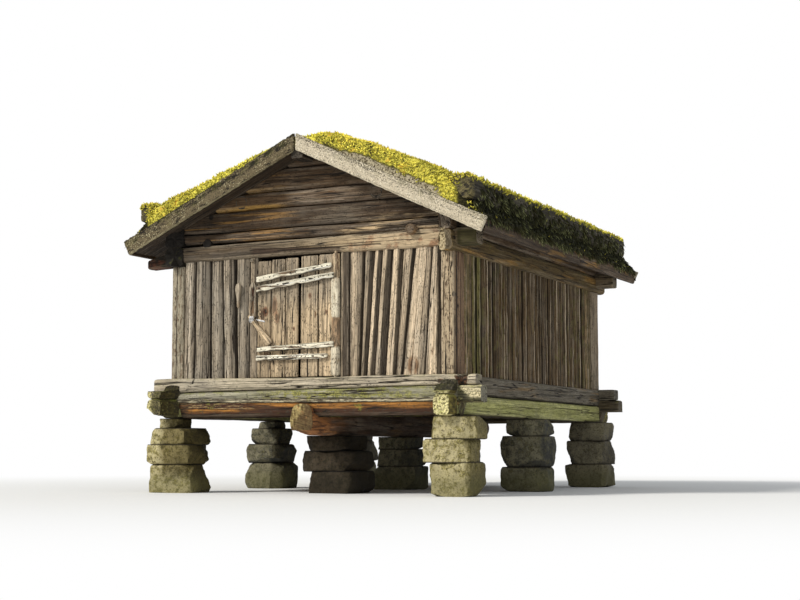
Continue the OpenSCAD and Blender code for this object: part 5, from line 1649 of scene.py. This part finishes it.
# How dark each gable course is painted, as painted shade under the roof's overhang
GABLE_PAINTED_SHADE = (0.5, 0.6, 0.82, 0.88, 0.8)
GABLE_Y, GABLE_T = 2.505, 0.17
PURLIN_X, PURLIN_Z, PURLIN_D = 0.90, 3.468, 0.17
POLE_X, POLE_Z, POLE_D = 1.37, 2.99, 0.118
POLE_END, POLE_END_L = 2.68, 2.605
RIDGE_W, RIDGE_H, EAVE_W = 0.16, 0.11, 0.047
FRONT_FACE = -PLATE_Y - OUTER
FRONT_PLATE_FOOT = seam([(-2.22, 2.72), (-1.92, 2.735), (-1.89, 2.776), (-1.6, 2.776), (-0.2, 2.788),
                         (1.2, 2.784), (2.15, 2.79)], 13, 0.004)
FRONT_PLATE_HEAD = seam([(-2.22, 2.83), (-1.92, 2.92), (-1.89, 2.96), (-1.6, 2.965), (-0.2, 2.98),
                         (1.6, 2.995), (2.15, 2.99)], 14, 0.005)


def chopped(rings):
    """The ends of the side plates are hewn away in front, towards the front plate."""
    rings = below_roof(rings)
    reach = 0.012 + 0.085 * unit((np.abs(rings[..., X]) - 1.755) / 0.05)
    reach += 0.02 * noise(rings, 0.07, 45)
    rings[..., Y] = np.maximum(rings[..., Y], FRONT_FACE - reach)
    return rings


class GRANARY_OT_plates(bpy.types.Operator):
    """Lay the plate logs on the walls"""
    bl_idname = "granary.plates"
    bl_label = "Plate logs"

    def execute(self, context):
        base = tuple(context.scene.granary_colours.plate)
        finishes = (wood("side_plate", srgb(112, 92, 54), moss=0.15, ochre=0.6, grey=0.15, tips=plate_tips),
                    wood("top_plate", srgb(80, 62, 42), ochre=0.45, tips=plate_tips))
        for name, z, end, outline, seed, checks, laps, finish in (
                ("lower", SIDE_PLATE_LOWER_Z, PLATE_END_Y, hewn(LOG_T, 0.23, 0.05), 150, 5,
                 (None, PLATE_LAP[0]), finishes[0]),
                ("upper", SIDE_PLATE_UPPER_Z, DECK_Y, hewn(LOG_T, 0.30, 0.04, 44), 154, 4,
                 PLATE_LAP[1:], finishes[1])):
            shape = Shape()
            for s in (-1, 1):
                x = s * PLATE_X
                timber(shape, (x, FRONT_FACE - 0.12, z), (x, end, z), outline, seed + s, checks=checks,
                       worn=0.03, laps=corner_laps(Y, PLATE_Y, *laps), limit=chopped, step=0.07)
            piece(f"plate_logs_side_{name}", shape, finish, "plate_log", f"plates_side_{name}")
        front_form = between_seams(PLATE_Z, FRONT_PLATE_FOOT, FRONT_PLATE_HEAD, PLATE_END_L)
        for name, s, left, step, form, colour, bands in (
                ("front", -1, PLATE_END_L, 0.035, front_form, base, plate_bands),
                ("rear", 1, -PLATE_END_R, 0.07, None, dim(base, 0.7), None)):
            shape = Shape()
            timber(shape, (left, s * PLATE_Y, PLATE_Z), (PLATE_END_R, s * PLATE_Y, PLATE_Z),
                   hewn(LOG_T, 0.20, 0.04, 44), 160 + s, step=step, checks=7, form=form,
                   laps=corner_laps(X, PLATE_X, *PLATE_LAP[:2]), limit=below_roof)
            finish = wood(f"{name}_plate", colour, grey=0.4, ochre=0.15, streak=0.55, bands=bands)
            piece(f"plate_log_{name}", shape, finish, "plate_log", f"plate_{name}")
        return {"FINISHED"}


class GRANARY_OT_gables(bpy.types.Operator):
    """Stack the gable logs under the roof"""
    bl_idname = "granary.gables"
    bl_label = "Gable logs"

    def execute(self, context):
        base = tuple(context.scene.granary_colours.gable)
        seams = []
        for k, z in enumerate(GABLE_Z):
            inner = 0 < k < len(GABLE_Z) - 1
            ends = [(-2, z - 0.008), (2, z + 0.010)] if inner else [(-2, z), (2, z)]
            seams.append(seam(ends, 170 + k, 0.008 if inner else 0.002))
        for k, (z0, z1, shade) in enumerate(zip(GABLE_Z, GABLE_Z[1:], GABLE_PAINTED_SHADE)):
            shape = Shape()
            reach = min(PLATE_X + OUTER, (RIDGE - z0 - 0.02) / SLOPE)
            mid = (z0 + z1) / 2
            form = between_seams(mid, shifted(seams[k], 0.005), shifted(seams[k + 1], -0.005), -reach)
            outline = hewn(GABLE_T, z1 - z0, min(0.05, (z1 - z0) / 3), 40)
            for s, step in ((-1, 0.04), (1, 0.08)):
                timber(shape, (-reach, s * GABLE_Y, mid), (reach, s * GABLE_Y, mid), outline,
                       180 + 10 * k + s, step=step, checks=6, form=form, limit=below_roof)
            # Each course's colour is darkened by its painted shade
            finish = wood(f"gable_wood_{k + 1}", dim(base, shade), grey=0.25, streak=0.6, cracks=1.2,
                          bands=gable_bands)
            piece(f"gable_course_{k + 1}", shape, finish, "gable_log", f"gable_logs_{k + 1}")
        return {"FINISHED"}


class GRANARY_OT_roof_timber(bpy.types.Operator):
    """Lay the ridge beam, purlins, poles, roof boards and eave boards"""
    bl_idname = "granary.roof_timber"
    bl_label = "Roof timber"

    def execute(self, context):
        base = tuple(context.scene.granary_colours.timber)
        # The roof timber is painted at half the timber colour, as painted shade under the roof
        dark = wood("roof_wood", dim(base, 0.5), grey=0.1)
        brown = wood("pole_wood", dim(base, 1.5), ochre=0.5, tips=plate_tips)
        ridge = Shape()
        z = RIDGE - RIDGE_H / 2
        timber(ridge, (0, -DECK_Y, z), (0, DECK_Y, z), hewn(RIDGE_W, RIDGE_H, 0.025, 32), 201, lump=0.003,
               limit=below_roof)
        piece("ridge_log", ridge, dark, "roof_timber", "ridge_beam")
        for name, node, x, z, width, reach, left_front, finish in (
                ("purlin_logs", "purlins", PURLIN_X, PURLIN_Z, PURLIN_D, WALL_Y, WALL_Y, dark),
                ("pole_ends", "pole_beams", POLE_X, POLE_Z, POLE_D, POLE_END, POLE_END_L, brown)):
            shape = Shape()
            for s, front in ((-1, left_front), (1, reach)):
                timber(shape, (s * x, -front, z), (s * x, reach, z), round_log(width, 28), 205 + s, step=0.08,
                       lump=0.004)
            piece(name, shape, finish, "roof_timber", node)
        self.boards(dark, context.scene.granary_sizes.board_width)
        eave = Shape()
        z0, z1, z = low("eave_boards", Z), high("eave_boards", Z), middle("eave_boards", Z)
        for s in (-1, 1):
            x = s * (high("eave_boards", X) - 0.025)
            for k, (a, b) in enumerate([(-DECK_Y, 0.42), (0.424, DECK_Y)]):
                timber(eave, (x, a, z), (x, b, z), hewn(EAVE_W, z1 - z0 - 0.004, 0.01, 40),
                       221 + 3 * k + s, step=0.07, lump=0.004, sway=0.003, checks=5, deep=0.016,
                       limit=within((-9, -9, z0), (9, 9, z1)))
        finish = wood("eave_wood", dim(base, 0.68), ochre=0.4, grey=0.1, cracks=1.3)
        piece("eave_planks", eave, finish, "roof_timber", "eave_boards")
        return {"FINISHED"}

    def boards(self, finish, width):
        count = round(2 * DECK_Y / width)
        width = 2 * DECK_Y / count
        edge_x = -low("eave_boards", X) - 0.051
        z = RIDGE + DECK / 2
        for side, node in ((-1, "roof_boards_left"), (1, "roof_boards_right")):
            board = Shape()
            timber(board, (0, 0, z), (side * edge_x, 0, z - edge_x * SLOPE),
                   hewn(width - 0.004, DECK - 0.001, 0.006, 20), 211 + side, step=0.4, lump=0.0012, sway=0.0,
                   checks=1, deep=0.006)
            row = set_in_row(node + "_row", board, width, count, 0.0, finish, 17)
            piece(node + "_row", row, None, "roof_timber", node)


BARGE_H, BARGE_T, BARGE_DROP = 0.205, 0.045, 0.02


class GRANARY_OT_bargeboards(bpy.types.Operator):
    """Fix the bargeboards to both gables"""
    bl_idname = "granary.bargeboards"
    bl_label = "Bargeboards"

    def execute(self, context):
        base = tuple(context.scene.granary_colours.barge)
        half = BARGE_H / 2
        z = RIDGE - BARGE_DROP + half
        finishes = (
            crusted("barge_wood_left", srgb(106, 94, 70), srgb(32, 27, 19), srgb(184, 174, 138), 0.1, 0.95),
            crusted("barge_wood_right", base, dim(base, 0.17), srgb(232, 222, 198), 0.1))
        for side, name, start, crumbly, grit, finish in (
                (-1, "left", -0.022, 0.005, 0.008, finishes[0]),
                (1, "right", 0.003, 0.006, 0.0045, finishes[1])):
            shape = Shape()
            for k, y in enumerate((-ROOF_Y + BARGE_T / 2, ROOF_Y - BARGE_T / 2)):
                seed = 231 + 5 * k + side

                def ragged(t, section, seed=seed, crumbly=crumbly, side=side):
                    b = section[..., 1]
                    lower, upper = unit(-b / half - 0.55), unit(b / half - 0.55)
                    section[..., 1] += lower * (crumbly * (1.2 + 1.6 * line_noise(t, 0.028, seed)))[:, None]
                    section[..., 1] -= upper * (0.004 * (1 + line_noise(t, 0.05, seed + 1)))[:, None]
                    if side < 0:
                        section[..., 0] -= np.where(section[..., 0] > 0, 0.012 * lower, 0)
                    return section
                timber(shape, (start, y, z), (side * ROOF_X, y, z - ROOF_X * SLOPE),
                       hewn(BARGE_T, BARGE_H, 0.010, 44), seed, step=0.02, lump=0.0035, fibre=0.001,
                       grit=grit, sway=0.0, checks=4, deep=0.01, form=ragged,
                       skew=lambda share, b: (b - half) * sin(PITCH) * share,
                       limit=within((-ROOF_X, -ROOF_Y, 0), (ROOF_X, ROOF_Y, 9)))
            piece(f"bargeboard_{name}", shape, finish, "bargeboard", f"bargeboards_{name}")
        return {"FINISHED"}


# Turf

TURF_LOG_X, TURF_LOG_Z, TURF_LOG_D = 2.06, 3.40, 0.27
BARGE_TOP = 0.145
TURF_DEPTH = {
    -1: ([0, 0.5, 1.0, 1.9, 1.98, 2.06, 2.16, 2.27], [0.125, 0.19, 0.25, 0.33, 0.33, 0.26, 0.20, 0.11]),
    1: ([0, 0.12, 0.3, 0.53, 0.9, 1.3, 1.67, 1.9, 1.98, 2.06, 2.16, 2.27],
        [0.125, 0.16, 0.255, 0.34, 0.40, 0.42, 0.44, 0.42, 0.38, 0.28, 0.20, 0.11]),
}
FRINGE_EAVE = [(2.17, 3.26), (2.25, 3.18), (2.31, 3.11), (2.355, 3.06), (2.335, 3.04), (2.15, 3.22)]
FRINGE_LOG = [(2.14, 3.505), (2.165, 3.495), (2.188, 3.42), (2.186, 3.32), (2.15, 3.28), (2.02, 3.40)]


def turf_grid(side):
    """Turf surface from ridge to eave: rows along the ridge, lines down the slope."""
    s_in = np.concatenate([np.arange(0, 2.0, 0.042), [2.03, 2.07, 2.11, 2.15, 2.19, 2.23, 2.27]])
    z_in = under(s_in) + DECK + np.interp(s_in, *TURF_DEPTH[side])
    s = np.concatenate([[0.0], s_in, [2.315, 2.352, 2.340, 2.294, 2.286]])
    lip = [EAVE_TOP + 0.035, EAVE_TOP + 0.008, EAVE_TOP - 0.02, EAVE_TOP + 0.002, under(2.286) + DECK]
    z = np.concatenate([[under(0) + DECK], z_in, lip])
    q = np.linspace(0, pi / 2, 11)
    edge_y = np.concatenate([[2.8445, 2.8447], 2.79 + 0.097 * np.cos(q) ** 0.5])
    edge_base = np.concatenate([[0.0], np.full(12, BARGE_TOP)])
    edge_rise = np.concatenate([[0.0, 0.0], np.sin(q)])
    inner = np.linspace(-2.76, 2.76, 132)
    y = np.concatenate([-edge_y, inner, edge_y[::-1]])
    base = np.concatenate([edge_base, np.full(len(inner), BARGE_TOP), edge_base[::-1]])
    rise = np.concatenate([edge_rise, np.ones(len(inner)), edge_rise[::-1]])
    S, Yy = np.meshgrid(s, y, indexing="ij")
    deck = under(S) + DECK
    flat = np.stack([side * S, Yy, 0 * S], -1)
    humps = 0.026 * rough(flat, 0.42, 31) + 0.014 * noise(flat, 0.09, 34)
    open_top = np.concatenate([[0, 0.6], np.ones(len(s_in) - 3), [0.8, 0.5], [0.5, 0.5, 0.4, 0, 0]])[:, None]
    full = np.repeat(z[:, None], len(y), 1) + humps * open_top
    full = full + 0.06 * unit(1 - S / 0.25) * unit((2.7 - np.abs(Yy)) / 0.5) * (open_top > 0)
    over = full - deck
    zz = deck + np.minimum(base[None], 0.92 * over) + rise[None] * np.maximum(0, over - BARGE_TOP)
    zz = np.where(base[None] == 0, deck, zz)
    outward = unit((over - BARGE_TOP - 0.005) / 0.04)
    tucked = np.sign(Yy) * (2.842 + (np.abs(Yy) - 2.842) * outward)
    grid = np.stack([side * S, np.where(np.abs(Yy) > 2.845, tucked, Yy), zz], -1)
    sag = 0.016 * rough(grid, 0.05, 37)
    grid[..., Y] += np.where(np.abs(Yy) > 2.846, np.sign(Yy) * sag * outward, 0)
    grid[..., X] += side * np.where(S > 2.33, np.minimum(sag, 0.012), 0)
    return grid


def turf_bed(side, name):
    """The turf of one side as a mesh that its rim closes below."""
    grid = turf_grid(side)
    m, n = grid.shape[:2]
    i, j = (k.ravel() for k in np.meshgrid(np.arange(m - 1), np.arange(n - 1), indexing="ij"))
    quads = np.stack([i * n + j, i * n + j + 1, (i + 1) * n + j + 1, (i + 1) * n + j], -1)
    rim = np.concatenate([np.arange(n), np.arange(1, m) * n + n - 1, (m - 1) * n + np.arange(n - 2, -1, -1),
                          np.arange(m - 2, 0, -1) * n])
    points = grid.reshape(-1, 3)
    points = np.vstack([points, points[rim].mean(0)])
    fan = np.stack([np.roll(rim, -1), rim, np.full(len(rim), len(points) - 1)], -1)
    shape = Shape()
    shape.add(points, [(faces, points[faces][..., :2], 0.0) for faces in (quads, fan)], 0.5)
    return shape.mesh(name, 70), points


def turf_growth(side, points):
    """How thickly the moss grows on the turf; it leaves the crust along the verges bare."""
    s, y = np.abs(points[:, 0]), np.abs(points[:, 1])
    over = points[:, 2] - under(s) - DECK - BARGE_TOP
    crusty = (over < 0.09 * unit((s - 0.2) / 0.6)) & (s < 1.78) if side > 0 else s < 0.55
    bare = (s < 0.001) | (s > 1.99) | (over < -0.03) | crusty & (y > 2.80)
    growth = np.where(bare, 0.0, 1.0) * np.clip(0.8 + 0.5 * rough(points, 0.5, 41), 0, 2)
    growth *= np.where((s > 0.1) & (y > 2.72), 1.8, 1.0)
    return np.where((s > 2.18) & (s < 2.29), 0.45, growth)


def log_growth(points):
    """Moss grows on the tops of the turf logs, and all over the left one's front end."""
    x, y, z = points.T
    low_edge = TURF_LOG_Z + np.where(np.abs(x) > TURF_LOG_X + 0.07, 0.055, 0.0)
    top = unit((z - low_edge) / 0.05) * np.clip(0.7 + 0.9 * rough(points, 0.3, 43), 0, 2)
    left_front = (x < 0) & (y < -2.3) & ((x > -TURF_LOG_X) | (z > TURF_LOG_Z + 0.02))
    return np.where(left_front, 1.4, top)


def log_tips(f, place):
    """The ends of the turf logs are paler than their dark sides."""
    x, y, z = f.split(place)
    bark = f.streaks(x * 20, y * 5, z * 34, 4.0, 0.75)
    f.lay(f.ramp(abs(y), 2.72, 2.80) * 0.9, f.fade(bark, 0.46, 0.58, srgb(112, 102, 66), srgb(34, 30, 19)))


class GRANARY_OT_turf(bpy.types.Operator):
    """Lay the turf and the turf logs, and grow the moss and the fringe on them"""
    bl_idname = "granary.turf"
    bl_label = "Turf and moss"

    def execute(self, context):
        sizes, colours = context.scene.granary_sizes, context.scene.granary_colours
        shades = colours.moss, colours.moss_tip, colours.fringe, colours.earth
        green, tip, old, earth = (tuple(c) for c in shades)
        cover = moss_finish("turf_moss", colours)
        tuft = placed("tuft", blades("tuft", 2, sizes.moss_height, 0.016, 0.024, 3))
        strand = placed("strand", blades("strand", 3, sizes.fringe_length, 0.014, 0.022, 4, hanging=True))
        moss = blade_finish("moss_blades", dim(green, 0.42), green, tip, srgb(186, 180, 64))
        dead = blade_finish("fringe_blades", dim(old, 0.12), dim(old, 0.5), dim(old, 3.6), dim(earth, 0.8))
        for side, name in ((-1, "left"), (1, "right")):
            bed, points = turf_bed(side, name)
            scatter = bed.copy()
            store(scatter, "growth", turf_growth(side, points))
            tufts = grown_on(f"moss_tufts_{name}", scatter, tuft, float(sizes.moss_count), (0.5, 1.15), 0.5,
                             moss, 51)
            piece(f"turf_bed_{name}", bed, cover, "turf", f"turf_{name}")
            piece(f"moss_tufts_{name}", tufts, None, "turf")
        logs = Shape()
        for s, wide, z in ((-1, 0.21, TURF_LOG_Z - 0.025), (1, TURF_LOG_D, TURF_LOG_Z)):
            timber(logs, (s * TURF_LOG_X, -2.86, z), (s * TURF_LOG_X, 2.84, z),
                   hewn(wide, wide + 0.01, wide * 0.26), 241 + s, step=0.045, lump=0.016, sway=0.008,
                   checks=7, deep=0.03, grit=0.009, worn=0.02)
        log_mesh = logs.mesh("turf_log_pair")
        log_ground = log_mesh.copy()
        store(log_ground, "growth", log_growth(coordinates(log_ground)))
        finish = wood("turf_log_wood", srgb(48, 43, 28), moss=0.5, grey=0.0, edge=0.1, cracks=0.8,
                      tips=log_tips)
        piece("turf_log_pair", log_mesh, finish, "turf_log", "turf_logs")
        log_tufts = grown_on("moss_on_logs", log_ground, tuft, 1550.0, (0.6, 1.25), 0.9, moss, 61)
        piece("moss_on_logs", log_tufts, None, "turf")
        eaves = Shape()
        for s in (-1, 1):
            for profile, start in ((FRINGE_EAVE, -2.80), (FRINGE_LOG, -2.62)):
                y = np.linspace(start, 2.80, 60)
                rings = np.array([[(s * px, yy, pz) for px, pz in profile] for yy in y])
                eaves.loft(rings, y, np.arange(7.0), 0.5)
        eaves = eaves.mesh("fringe_ground")
        store(eaves, "growth", np.clip(0.75 + 1.1 * rough(coordinates(eaves), 0.35, 47), 0.15, 2))
        fringe = grown_on("hanging_fringe", eaves, strand, 740.0, (0.35, 1.15), 0.6, dead, 71)
        piece("hanging_fringe", fringe, None, "turf")
        for ob in (tuft, strand):
            bpy.data.objects.remove(ob)
        return {"FINISHED"}


# Stage

CAMERA_AT = (8.444, -17.847, 0.517)
CAMERA_YAW, CAMERA_PITCH, CAMERA_LENS = radians(25.38), radians(5.69), 67.5
SUN_FROM, SUN_ENERGY = (-0.50, -0.66, 0.62), 2.7
FLOOR_REACH = 90.0


class GRANARY_OT_stage(bpy.types.Operator):
    """Set the floor, the light and the camera"""
    bl_idname = "granary.stage"
    bl_label = "Floor, light and camera"

    def execute(self, context):
        scene = context.scene
        scene.view_settings.view_transform = "Standard"
        me = bpy.data.meshes.new("stage_floor")
        r = FLOOR_REACH
        me.from_pydata([(-r, -r, 0), (r, -r, 0), (r, r, 0), (-r, r, 0)], [], [(0, 1, 2, 3)])
        f = Finish("stage_floor")
        pale = f.node("ShaderNodeBsdfDiffuse", {}, {"Color": (0.86, 0.86, 0.85)})
        white = f.node("ShaderNodeEmission", {}, {"Color": (1.0, 1.0, 1.0), "Strength": 1.0})
        x, y, _ = f.split(f.place())
        far = f.ramp((x * x + y * y) ** 0.5, 5.0, 13.0)
        share = far * f.node("ShaderNodeLightPath", out=0)
        f.node("ShaderNodeOutputMaterial", {},
               {0: f.node("ShaderNodeMixShader", {}, {0: share, 1: pale, 2: white})})
        me.materials.append(f.material)
        placed("stage_floor", me)
        world = bpy.data.worlds.new("studio")
        scene.world = world
        world.use_nodes = True
        g = Graph(world.node_tree)
        path = [g.node("ShaderNodeLightPath", out=k) for k in (0, 3, 6)]
        soft = g.node("ShaderNodeBackground", {}, {"Color": (0.94, 0.97, 1.0), "Strength": 0.54})
        plain = g.node("ShaderNodeBackground", {}, {"Color": (1.0, 1.0, 1.0), "Strength": 1.0})
        share = path[0].sum("MAXIMUM", path[0], path[1].sum("MAXIMUM", path[1], path[2]))
        g.node("ShaderNodeOutputWorld", {},
               {0: g.node("ShaderNodeMixShader", {}, {0: share, 1: soft, 2: plain})})
        lamp = bpy.data.lights.new("soft_sun", "SUN")
        lamp.energy, lamp.angle, lamp.color = SUN_ENERGY, radians(12), (1.0, 0.965, 0.9)
        sun = placed("soft_sun", lamp)
        sun.rotation_mode = "QUATERNION"
        sun.rotation_quaternion = Vector(SUN_FROM).to_track_quat("Z", "Y")
        lens = bpy.data.cameras.new("camera")
        lens.lens, lens.sensor_width, lens.clip_end = CAMERA_LENS, 36.0, 300
        scene.camera = placed("camera", lens)
        scene.camera.location = CAMERA_AT
        scene.camera.rotation_euler = Euler((pi / 2 + CAMERA_PITCH, 0, CAMERA_YAW))
        return {"FINISHED"}


OPERATORS = (GRANARY_OT_stage, GRANARY_OT_piers, GRANARY_OT_sills, GRANARY_OT_floor, GRANARY_OT_walls,
             GRANARY_OT_door, GRANARY_OT_plates, GRANARY_OT_gables, GRANARY_OT_roof_timber,
             GRANARY_OT_bargeboards, GRANARY_OT_turf)


class GRANARY_PT_panel(bpy.types.Panel):
    """Lists the granary's sizes, colours and pieces"""
    bl_idname = "GRANARY_PT_panel"
    bl_label = "Raised granary"
    bl_space_type = "VIEW_3D"
    bl_region_type = "UI"
    bl_category = "Granary"

    def draw(self, context):
        for group in (context.scene.granary_sizes, context.scene.granary_colours):
            box = self.layout.box()
            for key in type(group).__annotations__:
                box.prop(group, key)
        for operator in OPERATORS:
            self.layout.operator(operator.bl_idname)


CLASSES = (GranarySizes, GranaryColours, *OPERATORS, GRANARY_PT_panel)


def register():
    for c in CLASSES:
        bpy.utils.register_class(c)
    bpy.types.Scene.granary_sizes = PointerProperty(type=GranarySizes)
    bpy.types.Scene.granary_colours = PointerProperty(type=GranaryColours)


def unregister():
    del bpy.types.Scene.granary_sizes
    del bpy.types.Scene.granary_colours
    for c in reversed(CLASSES):
        bpy.utils.unregister_class(c)


def main():
    register()
    for operator in OPERATORS:
        family, word = operator.bl_idname.split(".")
        getattr(getattr(bpy.ops, family), word)()


if __name__ == "__main__":
    main()
